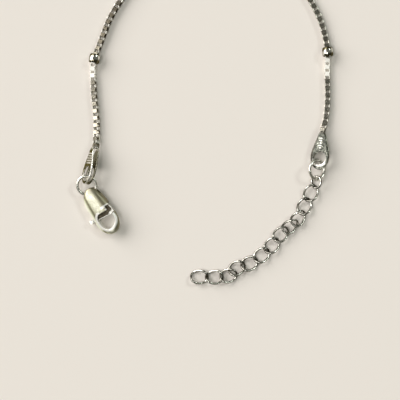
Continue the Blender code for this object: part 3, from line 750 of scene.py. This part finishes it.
def tag_marks(points, rib_reach, rib_power, rim_side):
    """Wear-and-highlight, rim and under-leaf shade of a tag's points.

    Wear-and-highlight, worn and painted highlight, is one on the ribs' crests as far across as
    the reach, and round the hole, widest and fullest on its far side. Rim is one along the upper
    leaf's edge on one side, and at the fold, for the painted rim. Under-leaf shade is one on the
    leaf that lies underneath, for a painted shade tone.
    """
    along, across, up = points.reshape(-1, 3).T
    shares = np.array(TAG_OUTLINE)
    width = np.interp(along, shares[:, 0] * TAG_LENGTH, shares[:, 1] * TAG_HALF_WIDTH)
    # Rim along the edge and at the fold: painted highlight on the left tag, shade on the right.
    rim = step(*RIM_FADE, rim_side * across / np.maximum(width, 0.0002))
    rim = np.maximum(rim * (up > 0.0), 1.0 - step(*FOLD_FADE, along))
    # Bright hole edge, fullest on the far side, and bright rib crests: wear and painted highlight.
    past = (along - TAG_HOLE_CENTRE) / TAG_HOLE_RADIUS
    away = np.hypot(past, across / TAG_HOLE_RADIUS) - HOLE_WIDENING * step(*HOLE_WIDENS, past)
    round_hole = 1.0 - step(*HOLE_FADE, away)
    round_hole *= HOLE_NEAR_HIGHLIGHT + (1.0 - HOLE_NEAR_HIGHLIGHT) * step(*HOLE_FILLS, past)
    share = (along - RIBS_FROM) / (RIBS_TO - RIBS_FROM)
    crest = np.abs(np.sin(np.pi * RIB_COUNT * share)) ** rib_power
    crest *= (share > 0.0) & (share < 1.0)
    crest *= 1.0 - step(rib_reach, rib_reach + RIB_HIGHLIGHT_FADE, np.abs(across))
    wear_and_highlight = np.maximum(round_hole, crest * (up > 0.0))
    # The leaf underneath gets a painted shade tone.
    return {"wear_and_highlight": wear_and_highlight, "rim": rim, "under_leaf_shade": up < 0.0}


def make_tags(materials):
    """Both folded tags, from one shape, each with its own bright ribs and painted rim."""
    points, faces = tag_grid()
    for (node, values), material, highlights_and_rim in zip(TAG_POSES.items(), materials, TAG_HIGHLIGHTS_AND_RIMS):
        name, marks = node.replace("tag", "folded_strip"), tag_marks(points, *highlights_and_rim)
        item = solid(name, put(points, pose(*values)), faces, marks)
        sharpen(item, SHARP_ANGLE)
        finish_piece(item, material, node)


# clasp

CLASP_LENGTH = 0.0120
CLASP_HALF_WIDTH = 0.00285
CLASP_HALF_HEIGHT = 0.0015
SLOT_HALF_HEIGHT = 0.00065
EYE_FROM = 0.0065
EYE_TO = 0.01065
EYE_HALF_WIDTH = 0.0018
SHOULDER = 0.0055
TAIL_SLOT_DEPTH = 0.0024
TAIL_POST = (0.00048, -0.0004)
TAIL_POST_RADIUS = 0.0003
PIVOT = (0.0046, 0.0009)
PIVOT_RADIUS = 0.00045
PIVOT_CLEARANCE = 0.00012
LEVER_HALF_THICKNESS = 0.00045
HUB_RADIUS = 0.00095
LEVER_REACH = 0.0033
LEVER_TIP_GAP = 0.00016
NUB_RADIUS = 0.0005
NUB_HALF_HEIGHT = 0.0007
NUB_STAND_OUT = 0.0006
SECTION_POWER = 2.4
SHELL_ROWS = 96
SHELL_SIDES = 96

# Voxel size and rounds of smoothing of the clasp and of its lever.
CLASP_CASTING = (0.00006, 5)
LEVER_CASTING = (0.00004, 6)

# Wear and painted highlight of the clasp round its eye, along its shoulder, on the nub, at the
# gate's tip and along the lever's edge: the distances where it starts to fade and ends, and its
# strength.
EYE_WEAR_AND_HIGHLIGHT = (0.00038, 0.00070, 1.0)
SHOULDER_WEAR_AND_HIGHLIGHT = (0.00018, 0.00046, 0.9)
NUB_WEAR_AND_HIGHLIGHT = (0.00055, 0.0010, 1.0)
TIP_WEAR_AND_HIGHLIGHT = (0.0003, 0.0008, 0.7)
EDGE_WEAR_AND_HIGHLIGHT = (0.00010, 0.00022, 0.8)

# The shoulder's bright stretch, worn and painted highlight, in shares of the half width, and
# the turns of the gate tip's bright points about the pivot, in radians.
SHOULDER_STRETCH = (0.25, 0.90)
TIP_TURNS = (0.25, 0.35, 0.45, 0.54)

# Where the darkening towards the tail starts to fade and ends.
TAIL_FADE = (0.0002, 0.0019)

# Sections of the clasp: share of its length, then of its half width on the spine's side
# and on the gate's side, and of its half height.
CLASP_SECTIONS = (
    (0.000, 0.24, 0.24, 0.66),
    (0.030, 0.47, 0.45, 0.80),
    (0.092, 0.71, 0.61, 0.90),
    (0.210, 0.93, 0.76, 0.97),
    (0.370, 1.00, 0.88, 1.00),
    (0.525, 1.00, 0.96, 0.97),
    (0.700, 0.97, 0.98, 0.80),
    (0.840, 0.84, 0.87, 0.71),
    (0.925, 0.61, 0.67, 0.67),
    (0.975, 0.36, 0.42, 0.60),
    (1.000, 0.12, 0.16, 0.44),
)

# Outline of the clasp's eye: shares along it and of its half width.
EYE_OUTLINE = (
    (0.00, -0.52),
    (0.00, 0.90),
    (0.36, 1.12),
    (0.60, 1.14),
    (0.82, 0.90),
    (0.97, 0.35),
    (1.00, -0.20),
    (0.90, -0.62),
    (0.68, -0.90),
    (0.42, -0.96),
    (0.17, -0.88),
)


def prism(name, outline, half_height):
    """Closed prism: the outline at two heights, its side quads, and one face on each end."""
    count = len(outline)
    rings = [np.column_stack((outline, np.full(count, z))) for z in (-half_height, half_height)]
    mesh = bpy.data.meshes.new(name)
    sides = grid_faces(2, count, False, True).tolist()
    caps = [list(range(count))[::-1], list(range(count, 2 * count))]
    mesh.from_pydata(np.concatenate(rings).tolist(), [], sides + caps)
    work = bmesh.new()
    work.from_mesh(mesh)
    bmesh.ops.recalc_face_normals(work, faces=work.faces)
    work.to_mesh(mesh)
    work.free()
    return add_object(name, mesh)


def disc(centre, radius, sides=40):
    """Outline of a circle: its middle plus the radius times cosine and sine."""
    turn = round_turn(sides)
    return np.stack((centre[0] + radius * np.cos(turn), centre[1] + radius * np.sin(turn)), -1)


def cast(item, cuts, joins, voxel, rounds):
    """Cut and join with exact Booleans, then soften as a tumbled casting.

    The softening is a voxel remesh at one spacing and a few rounds of smoothing. All of it is
    applied to the mesh, and the cutting and joining pieces are removed.
    """
    for operation, others in (("DIFFERENCE", cuts), ("UNION", joins)):
        for other in others:
            modifier = item.modifiers.new(other.name, "BOOLEAN")
            modifier.operation, modifier.object, modifier.solver = operation, other, "EXACT"
    remesh = item.modifiers.new("cast", "REMESH")
    remesh.mode = "VOXEL"
    remesh.voxel_size = voxel
    tumble = item.modifiers.new("tumbled", "SMOOTH")
    tumble.factor, tumble.iterations = 0.5, rounds
    graph = bpy.context.evaluated_depsgraph_get()
    mesh = bpy.data.meshes.new_from_object(item.evaluated_get(graph))
    item.modifiers.clear()
    item.data = mesh
    for other in cuts + joins:
        bpy.data.objects.remove(other, do_unlink=True)


def clasp_shell():
    """Loft through the clasp's sections: superellipses round its long axis.

    The widths and heights follow a spline through the table, and the rows close at both ends.
    """
    table = np.array(CLASP_SECTIONS)
    sizes = np.array((CLASP_LENGTH, CLASP_HALF_WIDTH, CLASP_HALF_WIDTH, CLASP_HALF_HEIGHT))
    knots = chord_knots(table * sizes)
    rows = natural_spline(knots, table, np.linspace(0.0, knots[-1], SHELL_ROWS))
    spin = round_turn(SHELL_SIDES)[None, :]
    across = np.sign(np.cos(spin)) * np.abs(np.cos(spin)) ** (2.0 / SECTION_POWER)
    upward = np.sign(np.sin(spin)) * np.abs(np.sin(spin)) ** (2.0 / SECTION_POWER)
    width = CLASP_HALF_WIDTH * np.where(across > 0.0, rows[:, 2:3], rows[:, 1:2])
    along = np.broadcast_to(CLASP_LENGTH * rows[:, :1], width.shape)
    points = np.stack((along, width * across, CLASP_HALF_HEIGHT * rows[:, 3:] * upward), -1)
    ends = np.stack((points[0], points[-1]))
    ends[..., 1:] = 0.0
    points = np.concatenate((ends[:1], points, ends[1:]))
    return solid("lobster_clasp", points, grid_faces(SHELL_ROWS + 2, SHELL_SIDES, False, True))


def nub_centre():
    """Middle of the thumb nub, just outside the spine."""
    return EYE_FROM + 1.4 * NUB_RADIUS, -(CLASP_HALF_WIDTH + NUB_STAND_OUT)


def lever_outline():
    """Outline of the lever about its pivot: hub, thumb arm, web and the gate's tip."""

    def arc(angles, radius):
        """Points of a circle about the pivot at the angles, in degrees."""
        return [(radius * math.cos(turn), radius * math.sin(turn)) for turn in np.radians(angles)]

    nub = (nub_centre()[0] - PIVOT[0], nub_centre()[1] - PIVOT[1])
    arm = 0.8 * NUB_RADIUS
    return (
        arc(np.linspace(100.0, 240.0, 12), HUB_RADIUS)
        + [(nub[0] - 1.6 * arm, nub[1] * 0.62), (nub[0] - arm, nub[1]), (nub[0] + arm, nub[1])]
        + [(nub[0] + 0.9 * arm, nub[1] * 0.62), (0.94 * LEVER_REACH, -0.6 * NUB_RADIUS)]
        + arc(np.linspace(13.5, 31.0, 6), LEVER_REACH)
        + [(0.55 * LEVER_REACH, 0.51 * LEVER_REACH)]
    )


def eye_curve():
    """Outline of the eye: its corner, then a spline through the rest of the table."""
    shares = np.array(EYE_OUTLINE + EYE_OUTLINE[:1])
    sizes = np.array((EYE_TO - EYE_FROM, EYE_HALF_WIDTH))
    knots = chord_knots(shares * sizes)
    eye = natural_spline(knots[1:], shares[1:], np.linspace(knots[1], knots[-1], 64))
    return np.concatenate((shares[:1], eye[:-1])) * sizes + (EYE_FROM, 0.0)


def clasp_cuts():
    """Prisms that cut the eye, the gate's opening, the lever's slot and the tail's slot.

    The gate's opening ends in an arc about the pivot, a gap outside the lever's reach.
    """
    reach = LEVER_REACH + LEVER_TIP_GAP
    inner = 0.8 * EYE_HALF_WIDTH
    sweep = np.linspace(math.asin((inner - PIVOT[1]) / reach), math.radians(56.0), 24)
    arc = np.stack((PIVOT[0] + reach * np.cos(sweep), PIVOT[1] + reach * np.sin(sweep)), -1)
    gate = np.concatenate(([(SHOULDER, inner)], arc, [(SHOULDER, 1.5 * CLASP_HALF_WIDTH)]))
    back = PIVOT[0] - HUB_RADIUS - 2.0 * PIVOT_CLEARANCE
    wall, outside = -0.67 * CLASP_HALF_WIDTH, 1.5 * CLASP_HALF_WIDTH
    window = (PIVOT[0] + PIVOT_CLEARANCE, nub_centre()[0] + 2.0 * NUB_RADIUS - PIVOT_CLEARANCE)
    slot = (
        (back, wall),
        (window[0], wall),
        (window[0], -outside),
        (window[1], -outside),
        (window[1], -0.3 * EYE_HALF_WIDTH),
        (EYE_FROM + NUB_RADIUS, 0.0),
        (EYE_FROM + NUB_RADIUS, outside),
        (SHOULDER - 0.0005, outside),
        (SHOULDER - 0.0005, PIVOT[1] + 0.0013),
        (back, PIVOT[1] + HUB_RADIUS + PIVOT_CLEARANCE),
    )
    deep = TAIL_SLOT_DEPTH
    tail = ((-deep, -outside), (deep, -outside), (deep, outside), (-deep, outside))
    through = 2.0 * CLASP_HALF_HEIGHT
    return (
        prism("eye_cut", eye_curve(), through),
        prism("gate_cut", gate, through),
        prism("lever_slot_cut", slot, SLOT_HALF_HEIGHT),
        prism("tail_cut", tail, SLOT_HALF_HEIGHT),
    )


def mesh_plan(mesh):
    """X and Y of a mesh's points."""
    points = np.empty(3 * len(mesh.vertices), np.float32)
    mesh.vertices.foreach_get("co", points)
    return points.reshape(-1, 3)[:, :2]


def near(plan, curve, full, none, strength):
    """Strength where a point's plan lies within a distance of a curve's points, fading out."""
    gap = np.full(len(plan), np.inf)
    for knot in curve:
        gap = np.minimum(gap, np.hypot(*(plan - knot).T))
    return strength * (1.0 - step(full, none, gap))


def place_mesh(item, matrix):
    """Move the mesh itself into the part's frame, shade it smooth and leave the object alone."""
    item.data.transform(Matrix(matrix.tolist()))
    item.data.shade_smooth()


def make_clasp(material):
    """Clasp with its two posts.

    Wear-and-highlight, worn and painted highlight, is one round the eye and along the shoulder,
    side runs from nothing at the spine to one at the gate and carries the painted reflections, and
    tail is one at the tail.
    """
    buried = SLOT_HALF_HEIGHT + 0.5 * (CLASP_HALF_HEIGHT - SLOT_HALF_HEIGHT)
    posts = (
        prism("pivot_post", disc(PIVOT, PIVOT_RADIUS), buried),
        prism("tail_post", disc(TAIL_POST, TAIL_POST_RADIUS), buried),
    )
    body = clasp_shell()
    cast(body, clasp_cuts(), posts, *CLASP_CASTING)
    plan = mesh_plan(body.data)
    across = CLASP_HALF_WIDTH * np.linspace(*SHOULDER_STRETCH, 12)
    shoulder = np.stack((np.full(12, SHOULDER), across), -1)
    # Bright rim round the eye and along the shoulder: wear and painted highlight.
    at_eye = near(plan, eye_curve(), *EYE_WEAR_AND_HIGHLIGHT)
    marks = {
        "wear_and_highlight": np.maximum(at_eye, near(plan, shoulder, *SHOULDER_WEAR_AND_HIGHLIGHT)),
        # Across the clasp, spine to gate, for painted reflections.
        "side": 0.5 + 0.5 * plan[:, 1] / CLASP_HALF_WIDTH,
        "tail": 1.0 - step(*TAIL_FADE, plan[:, 0]),
    }
    keep_marks(body.data, marks)
    place_mesh(body, pose(*CLASP_POSE))
    finish_piece(body, material, "clasp_body")


def make_lever(material):
    """Sprung lever, bored for the pivot's post, with its nub.

    Wear-and-highlight, worn and painted highlight, is one on the nub, and less at the gate's
    tip and along the outline.
    """
    lever = prism("sprung_lever", lever_outline(), LEVER_HALF_THICKNESS)
    nub_at = (nub_centre()[0] - PIVOT[0], nub_centre()[1] - PIVOT[1])
    nub = prism("thumb_nub", disc(nub_at, NUB_RADIUS), NUB_HALF_HEIGHT)
    bore = prism("lever_bore", disc((0.0, 0.0), PIVOT_RADIUS + PIVOT_CLEARANCE), CLASP_HALF_WIDTH)
    cast(lever, (bore,), (nub,), *LEVER_CASTING)
    plan = mesh_plan(lever.data)
    tip = LEVER_REACH * np.stack((np.cos(TIP_TURNS), np.sin(TIP_TURNS)), -1)
    outline = np.array(lever_outline() + lever_outline()[:1])
    travel = chord_knots(outline)
    edge = read_along(np.linspace(0.0, travel[-1], 160), travel, outline)
    # Bright nub, gate tip and edges: wear and painted highlight.
    worn_and_lit = np.maximum(near(plan, [nub_at], *NUB_WEAR_AND_HIGHLIGHT), near(plan, tip, *TIP_WEAR_AND_HIGHLIGHT))
    worn_and_lit = np.maximum(worn_and_lit, near(plan, edge, *EDGE_WEAR_AND_HIGHLIGHT))
    keep_marks(lever.data, {"wear_and_highlight": worn_and_lit, "side": np.full(len(plan), 0.5)})
    pivot_frame = np.eye(4)
    pivot_frame[:2, 3] = PIVOT
    place_mesh(lever, pose(*CLASP_POSE) @ pivot_frame)
    finish_piece(lever, material, "clasp_lever", "lever")


# materials


class Value:
    """Output of a node. Sums, differences and products add Math nodes."""

    def __init__(self, shade, socket):
        """Keep the shade that the socket belongs to."""
        self.shade = shade
        self.socket = socket

    def math(self, operation, first, second):
        """Math node of two values or numbers."""
        return self.shade.node("ShaderNodeMath", {"operation": operation}, {0: first, 1: second})

    def __add__(self, other):
        return self.math("ADD", self, other)

    __radd__ = __add__

    def __mul__(self, other):
        return self.math("MULTIPLY", self, other)

    __rmul__ = __mul__

    def __sub__(self, other):
        return self.math("SUBTRACT", self, other)

    def __rsub__(self, other):
        return self.math("SUBTRACT", other, self)

    def span(self, low, high):
        """Smooth step: nothing below low, one above high."""
        inputs = {"Value": self, "From Min": low, "From Max": high}
        return self.shade.node("ShaderNodeMapRange", {"interpolation_type": "SMOOTHSTEP"}, inputs)


class Shade:
    """One material's nodes."""

    def __init__(self, name, tree=None):
        """Start from a new material's own shader, or from a node tree that is given."""
        if tree is None:
            self.material = bpy.data.materials.new(name)
            self.material.use_nodes = True
            tree = self.material.node_tree
            self.shader = tree.nodes["Principled BSDF"]
        self.tree = tree

    def node(self, kind, settings=None, inputs=None, output=0):
        """New node: its settings, then its sockets' values or links. Returns one output."""
        item = self.tree.nodes.new(kind)
        for key, value in (settings or {}).items():
            setattr(item, key, value)
        for key, value in (inputs or {}).items():
            self.feed(item.inputs[key], value)
        return Value(self, item.outputs[output])

    def feed(self, socket, value):
        """Link a value to a socket, or set the socket to a number or a colour."""
        if isinstance(value, Value):
            self.tree.links.new(value.socket, socket)
        else:
            socket.default_value = value

    def axis(self, index):
        """One of the object's own coordinates, in metres."""
        place = self.node("ShaderNodeTexCoord", output="Object")
        return self.node("ShaderNodeSeparateXYZ", None, {0: place}, index)

    def noise(self, scale, detail=2.0, roughness=0.6):
        """Noise at so many cells a metre."""
        place = self.node("ShaderNodeTexCoord", output="Object")
        inputs = {"Vector": place, "Scale": scale, "Detail": detail, "Roughness": roughness}
        return self.node("ShaderNodeTexNoise", None, inputs)

    def attribute(self, name):
        """A number kept on the mesh's points."""
        return self.node("ShaderNodeAttribute", {"attribute_name": name}, output="Fac")

    def mix(self, factor, first, second):
        """Mix of two colours."""
        inputs = {0: factor, 6: as_colour(first), 7: as_colour(second)}
        return self.node("ShaderNodeMix", {"data_type": "RGBA"}, inputs, 2)

    def layers(self, colour, *coats):
        """Colour with further ones laid over it in turn, each by its own factor."""
        for factor, coat in coats:
            colour = self.mix(factor, colour, coat)
        return colour

    def bump(self, height, strength, distance):
        """Bump from a height, in metres for one unit of it."""
        inputs = {"Height": height, "Strength": strength, "Distance": distance}
        return self.node("ShaderNodeBump", None, inputs)

    def silver(self, colour, roughness, tint, marks, metallic=1.0):
        """Feed the shader a metal's colour, roughness, tint at the edges and bump."""
        sockets = {
            "Base Color": colour,
            "Metallic": metallic,
            "Roughness": roughness,
            "Specular Tint": as_colour(tint),
            "Normal": marks,
        }
        for name, value in sockets.items():
            self.feed(self.shader.inputs[name], value)
        return self.material


def as_colour(value):
    """Colour of three numbers with its alpha, or a node's output as it is."""
    return value if isinstance(value, Value) else (*value, 1.0)


# Reflectances of the silver: bright, also for painted highlights; dulled by tarnish, also for
# painted shade; the rings'; the links' base, painted shade on flanks and ends; their crowns'
# painted highlight.
BRIGHT = (0.86, 0.85, 0.80)
TARNISH_AND_SHADE = (0.13, 0.115, 0.065)
RING_SILVER = (0.84, 0.83, 0.77)
LINK_FLANK_SHADE = (0.085, 0.077, 0.060)
LINK_CROWN_HIGHLIGHT = (0.80, 0.79, 0.73)

# Tint at the edges of wire and beads, of the chain, of the tags and of the clasp.
WIRE_TINT = (0.30, 0.28, 0.22)
CHAIN_TINT = (0.6, 0.58, 0.5)
TAG_TINT = (0.28, 0.27, 0.22)
SATIN_TINT = (0.5, 0.47, 0.36)

# Chain plates: those of the left strand, of the right strand, above the left bead and round
# the hidden side, and the paler cloud on all of them.
PLATE_WEST = (0.26, 0.243, 0.195)
PLATE_EAST = (0.32, 0.308, 0.26)
PLATE_NORTH = (0.13, 0.115, 0.085)
PLATE_FAR = (0.42, 0.41, 0.36)
PLATE_CLOUD = (0.36, 0.34, 0.29)
# Bends of the right strand, a painted highlight; the painted glare by each bead and its dark
# specks.
BEND_HIGHLIGHT_EAST = (0.66, 0.645, 0.585)
GLARE_WHITE = (0.93, 0.92, 0.87)
GLARE_SPECKS = (0.36, 0.35, 0.28)

# Where along X or Y each change of the chain's tone starts and ends, in metres.
WEST_TO_EAST = (-0.012, 0.018)
SOUTH_TO_NORTH = (0.012, 0.018)
NORTH_TO_FAR = (0.025, 0.031)

# Tones of a tag: its leaf, the mottle on it, the leaf underneath in a painted shade tone, and the
# rim, a painted highlight on the left tag and a painted shade on the right one.
LEFT_TAG = ((0.12, 0.108, 0.048), (0.26, 0.235, 0.13), (0.27, 0.26, 0.20), (0.82, 0.81, 0.76))
RIGHT_TAG = ((0.10, 0.105, 0.09), (0.38, 0.39, 0.34), (0.40, 0.40, 0.34), (0.07, 0.065, 0.055))

# Tones of satin silver, painted reflections: spine, painted highlight field, painted shade on the
# gate side, and rim worn bright and painted highlight. The lever's dark tones are painted shade.
# The spine's edge is the palest, a painted highlight.
CLASP_TONES = ((0.80, 0.82, 0.56), (0.77, 0.77, 0.64), (0.30, 0.28, 0.195), (0.95, 0.94, 0.90))
# The lever's dark tones: painted shade on its recessed web; its rim worn and painted highlight.
LEVER_TONES = ((0.05, 0.042, 0.03),) * 3 + ((0.90, 0.89, 0.84),)
SPINE_EDGE_HIGHLIGHT = (0.93, 0.94, 0.80)

# Bands of painted reflection across the clasp, from nothing at its spine to one at its gate:
# where each one changes. The spine's edge band is a painted highlight, the line after it painted
# shade.
SPINE_HIGHLIGHT_BAND = (0.09, 0.16)
SHADE_LINE_START = (0.14, 0.19)
SHADE_LINE_END = (0.22, 0.29)
SPINE_TO_FIELD = (0.20, 0.36)
FIELD_TO_GATE = (0.48, 0.74)


def handling_marks(shade):
    """Fine handling marks on wire."""
    return shade.bump(shade.noise(9000.0), 0.25, 0.000012)


def ring_wire():
    """Bright jump ring silver with a little tarnish and fine handling marks."""
    shade = Shade("ring wire silver")
    cloud = shade.noise(900.0, 3.0).span(0.45, 0.75)
    colour = shade.mix(0.45 * cloud, RING_SILVER, TARNISH_AND_SHADE)
    return shade.silver(colour, 0.24 + 0.12 * cloud, WIRE_TINT, handling_marks(shade))


def link_wire():
    """Link silver: painted highlight on its crown, painted shade on its flanks and link ends."""
    shade = Shade("link wire silver")
    cloud = shade.noise(1100.0, 3.0).span(0.34, 0.58)
    # Painted highlight on the crown over a base in painted shade.
    crown_light = shade.attribute("wear_and_highlight").span(0.0, 0.8) * (0.30 + 0.70 * cloud)
    colour = shade.mix(crown_light, LINK_FLANK_SHADE, LINK_CROWN_HIGHLIGHT)
    return shade.silver(colour, 0.28 - 0.06 * crown_light, WIRE_TINT, handling_marks(shade))


def polished_bead():
    """Mirror-bright bead: painted highlight band, ends in painted shade, dents and dark specks."""
    shade = Shade("polished bead silver")
    specks = shade.noise(2600.0).span(0.56, 0.66)
    wear_and_highlight = shade.attribute("wear_and_highlight")
    # Painted highlight band over ends in painted shade; dark specks.
    colour = shade.layers(TARNISH_AND_SHADE, (wear_and_highlight, BRIGHT), (0.85 * specks, TARNISH_AND_SHADE))
    dents = shade.bump(shade.noise(1500.0, 1.0, 0.4), 0.6, 0.00008)
    return shade.silver(colour, 0.10 + 0.25 * specks, WIRE_TINT, dents)


def box_chain_silver():
    """Chain silver: plates whose tone changes across the bracelet, bends bright with wear and
    painted highlight, and a painted glare on a stretch by each bead.
    """
    shade = Shade("box chain silver")
    painted_glare = shade.attribute("painted_glare")
    cloud = shade.noise(700.0, 3.0)
    broken = shade.noise(1900.0).span(0.38, 0.56)
    # Bright bars: wear and painted highlight.
    bright = shade.attribute("wear_and_highlight").span(0.35, 0.95) * (0.30 + 0.70 * broken)
    east = shade.axis(0).span(*WEST_TO_EAST)
    north = shade.axis(1).span(*SOUTH_TO_NORTH)
    far = shade.axis(1).span(*NORTH_TO_FAR)
    colour = shade.layers(
        PLATE_WEST,
        (east, PLATE_EAST),
        (north * (1.0 - east), PLATE_NORTH),
        (far, PLATE_FAR),
        ((0.7 - 0.6 * north) * cloud.span(0.40, 0.60), PLATE_CLOUD),
        (bright, shade.mix(east, BRIGHT, BEND_HIGHLIGHT_EAST)),
        # The painted glare by each bead, with dark specks.
        (painted_glare, shade.mix(cloud.span(0.56, 0.66), GLARE_WHITE, GLARE_SPECKS)),
    )
    rough = 0.24 + 0.06 * bright + 0.34 * painted_glare
    marks = shade.bump(shade.noise(2800.0), 0.6, 0.00004)
    # The painted glare and the bright bars are partly diffuse, so they stay white: painted
    # highlight.
    metallic = 1.0 - 0.75 * painted_glare - 0.45 * bright * (1.0 - painted_glare)
    return shade.silver(colour, rough, CHAIN_TINT, marks, metallic)


def tag_silver(name, leaf, mottle, under_shade_tone, rim):
    """Tag silver: a mottled leaf, painted shade on the leaf under it, a painted rim, and ribs
    bright with wear and painted highlight.
    """
    shade = Shade(name)
    cloud = shade.noise(2400.0, 3.0)
    # Bright ribs and hole edge: wear and painted highlight.
    bright = shade.attribute("wear_and_highlight").span(0.25, 0.9) * (0.45 + 0.55 * cloud.span(0.3, 0.5))
    colour = shade.layers(
        leaf,
        (cloud.span(0.44, 0.62), mottle),
        # Painted shade tone on the leaf underneath.
        (shade.attribute("under_leaf_shade"), under_shade_tone),
        # The rim: painted highlight on the left tag, painted shade on the right.
        (shade.attribute("rim"), rim),
        (bright, BRIGHT),
    )
    marks = shade.bump(shade.noise(4200.0), 0.5, 0.00003)
    return shade.silver(colour, 0.24 + 0.10 * bright, TAG_TINT, marks)


def satin_silver(name, spine, field, gate, rim):
    """Satin silver: an even frosting under painted reflections running from spine to gate, and
    rims bright with wear and painted highlight.
    """
    shade = Shade(name)
    side = shade.attribute("side")
    wear_and_highlight = shade.attribute("wear_and_highlight")
    cloud = shade.noise(520.0, 3.0).span(0.35, 0.70)
    grain = shade.noise(11000.0, 3.0, 0.7)
    coarse = shade.noise(3800.0)
    # A line of painted shade between the spine's edge and the field.
    shade_line = side.span(*SHADE_LINE_START) * (1.0 - side.span(*SHADE_LINE_END))
    # A painted highlight along the spine's edge.
    edge = 1.0 - side.span(*SPINE_HIGHLIGHT_BAND)
    # Painted reflections from spine to gate, darker tail, cloud, bright rims and spine edge.
    colour = shade.layers(
        spine,
        (side.span(*SPINE_TO_FIELD), field),
        (0.9 * shade_line, gate),
        (side.span(*FIELD_TO_GATE), gate),
        (0.8 * shade.attribute("tail"), gate),
        (0.35 * cloud + 0.30 * coarse.span(0.50, 0.66), gate),
        (wear_and_highlight, rim),
        (0.9 * edge, SPINE_EDGE_HIGHLIGHT),
    )
    marks = shade.bump(grain * 0.45 + coarse * 0.55, 0.9, 0.00004)
    # Worn rims and the spine's edge partly diffuse, so they stay white: painted highlight.
    metallic = 1.0 - 0.55 * wear_and_highlight - 0.75 * edge * (1.0 - wear_and_highlight)
    return shade.silver(colour, 0.36 + 0.10 * cloud, SATIN_TINT, marks, metallic)


# stage

FLOOR_TONE = (0.83, 0.786, 0.743)
FLOOR_REACH = 1.5

# Softboxes: direction from the bracelet, width, height, power and colour.
SOFTBOXES = (
    ("key_softbox", (-0.76, 0.38, 0.52), 5.4, 3.9, 345.0, (1.0, 0.967, 0.935)),
    ("fill_softbox", (0.62, 0.40, 0.66), 1.2, 1.0, 50.0, (0.94, 1.0, 0.95)),
    ("top_softbox", (-0.30, -0.17, 0.94), 1.1, 1.4, 55.0, (1.0, 0.99, 0.95)),
)
SOFTBOX_DISTANCE = 5.2

# Tones of the room, from straight below the bracelet to straight above it.
ROOM_STOPS = (
    (0.0, FLOOR_TONE),
    (0.48, FLOOR_TONE),
    (0.52, (0.18, 0.175, 0.14)),
    (0.75, (0.145, 0.145, 0.12)),
    (1.0, (0.13, 0.132, 0.118)),
)

# Width of the photograph's field, and its middle in the source's own axes.
FIELD_WIDTH = 0.094
FIELD_MIDDLE = (-0.0015, -0.0204)
CAMERA_LENS = 100.0
SENSOR_WIDTH = 36.0


def make_floor():
    """Plain pale floor under the bracelet."""
    corners = FLOOR_REACH * np.array([(-1, -1, 0), (1, -1, 0), (1, 1, 0), (-1, 1, 0)])
    mesh = bpy.data.meshes.new("pale_floor")
    mesh.from_pydata(corners.tolist(), [], [(0, 1, 2, 3)])
    shade = Shade("pale floor")
    for name, value in (("Base Color", (*FLOOR_TONE, 1.0)), ("Roughness", 1.0)):
        shade.shader.inputs[name].default_value = value
    shade.shader.inputs["Specular IOR Level"].default_value = 0.0
    mesh.materials.append(shade.material)
    add_object("pale_floor", mesh)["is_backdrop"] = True


def make_lights():
    """Soft studio lights, each turned towards the bracelet, and a dim warm room."""
    for name, direction, width, height, power, colour in SOFTBOXES:
        light = bpy.data.lights.new(name, "AREA")
        light.shape = "RECTANGLE"
        light.size, light.size_y, light.energy, light.color = width, height, power, colour
        item = add_object(name, light)
        away = Vector(direction).normalized()
        item.location = away * SOFTBOX_DISTANCE
        item.rotation_mode = "QUATERNION"
        item.rotation_quaternion = away.to_track_quat("Z", "Y")
    world = bpy.data.worlds.new("dim room")
    world.use_nodes = True
    bpy.context.scene.world = world
    shade = Shade("room", world.node_tree)
    around = shade.node("ShaderNodeTexCoord", output="Generated")
    height = shade.node("ShaderNodeSeparateXYZ", None, {0: around}, 2)
    tone = shade.node("ShaderNodeValToRGB", None, {0: height * 0.5 + 0.5})
    fill_ramp(tone.socket.node.color_ramp, ROOM_STOPS)
    background = world.node_tree.nodes["Background"]
    shade.feed(background.inputs["Color"], tone)
    background.inputs["Strength"].default_value = 1.0


def fill_ramp(ramp, stops):
    """Give a colour ramp its stops."""
    while len(ramp.elements) < len(stops):
        ramp.elements.new(1.0)
    for element, (place, colour) in zip(ramp.elements, stops):
        element.position = place
        element.color = (*colour, 1.0)


def make_camera():
    """Camera straight above, its picture's middle and width those of the photograph."""
    camera = bpy.data.cameras.new("overhead_camera")
    camera.lens, camera.sensor_width, camera.clip_start = CAMERA_LENS, SENSOR_WIDTH, 0.01
    item = add_object("overhead_camera", camera)
    middle = np.array(FIELD_MIDDLE) + STAND[:2]
    item.location = (*middle, FIELD_WIDTH / SENSOR_WIDTH * CAMERA_LENS + 0.001)
    bpy.context.scene.camera = item


def main():
    """Make every piece, the floor, the lights and the camera, and work out both boxes."""
    make_chain(box_chain_silver())
    make_beads(polished_bead())
    left = tag_silver("left tag silver", *LEFT_TAG)
    right = tag_silver("right tag silver", *RIGHT_TAG)
    make_tags((left, right))
    make_rings(ring_wire(), link_wire())
    make_clasp(satin_silver("satin clasp silver", *CLASP_TONES))
    make_lever(satin_silver("satin lever silver", *LEVER_TONES))
    make_floor()
    make_lights()
    make_camera()
    bpy.context.scene.view_settings.view_transform = "Standard"
    boxes = {"cad": cad_box, "visual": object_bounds()}
    boxes = {name: [list(corner) for corner in box] for name, box in boxes.items()}


main()
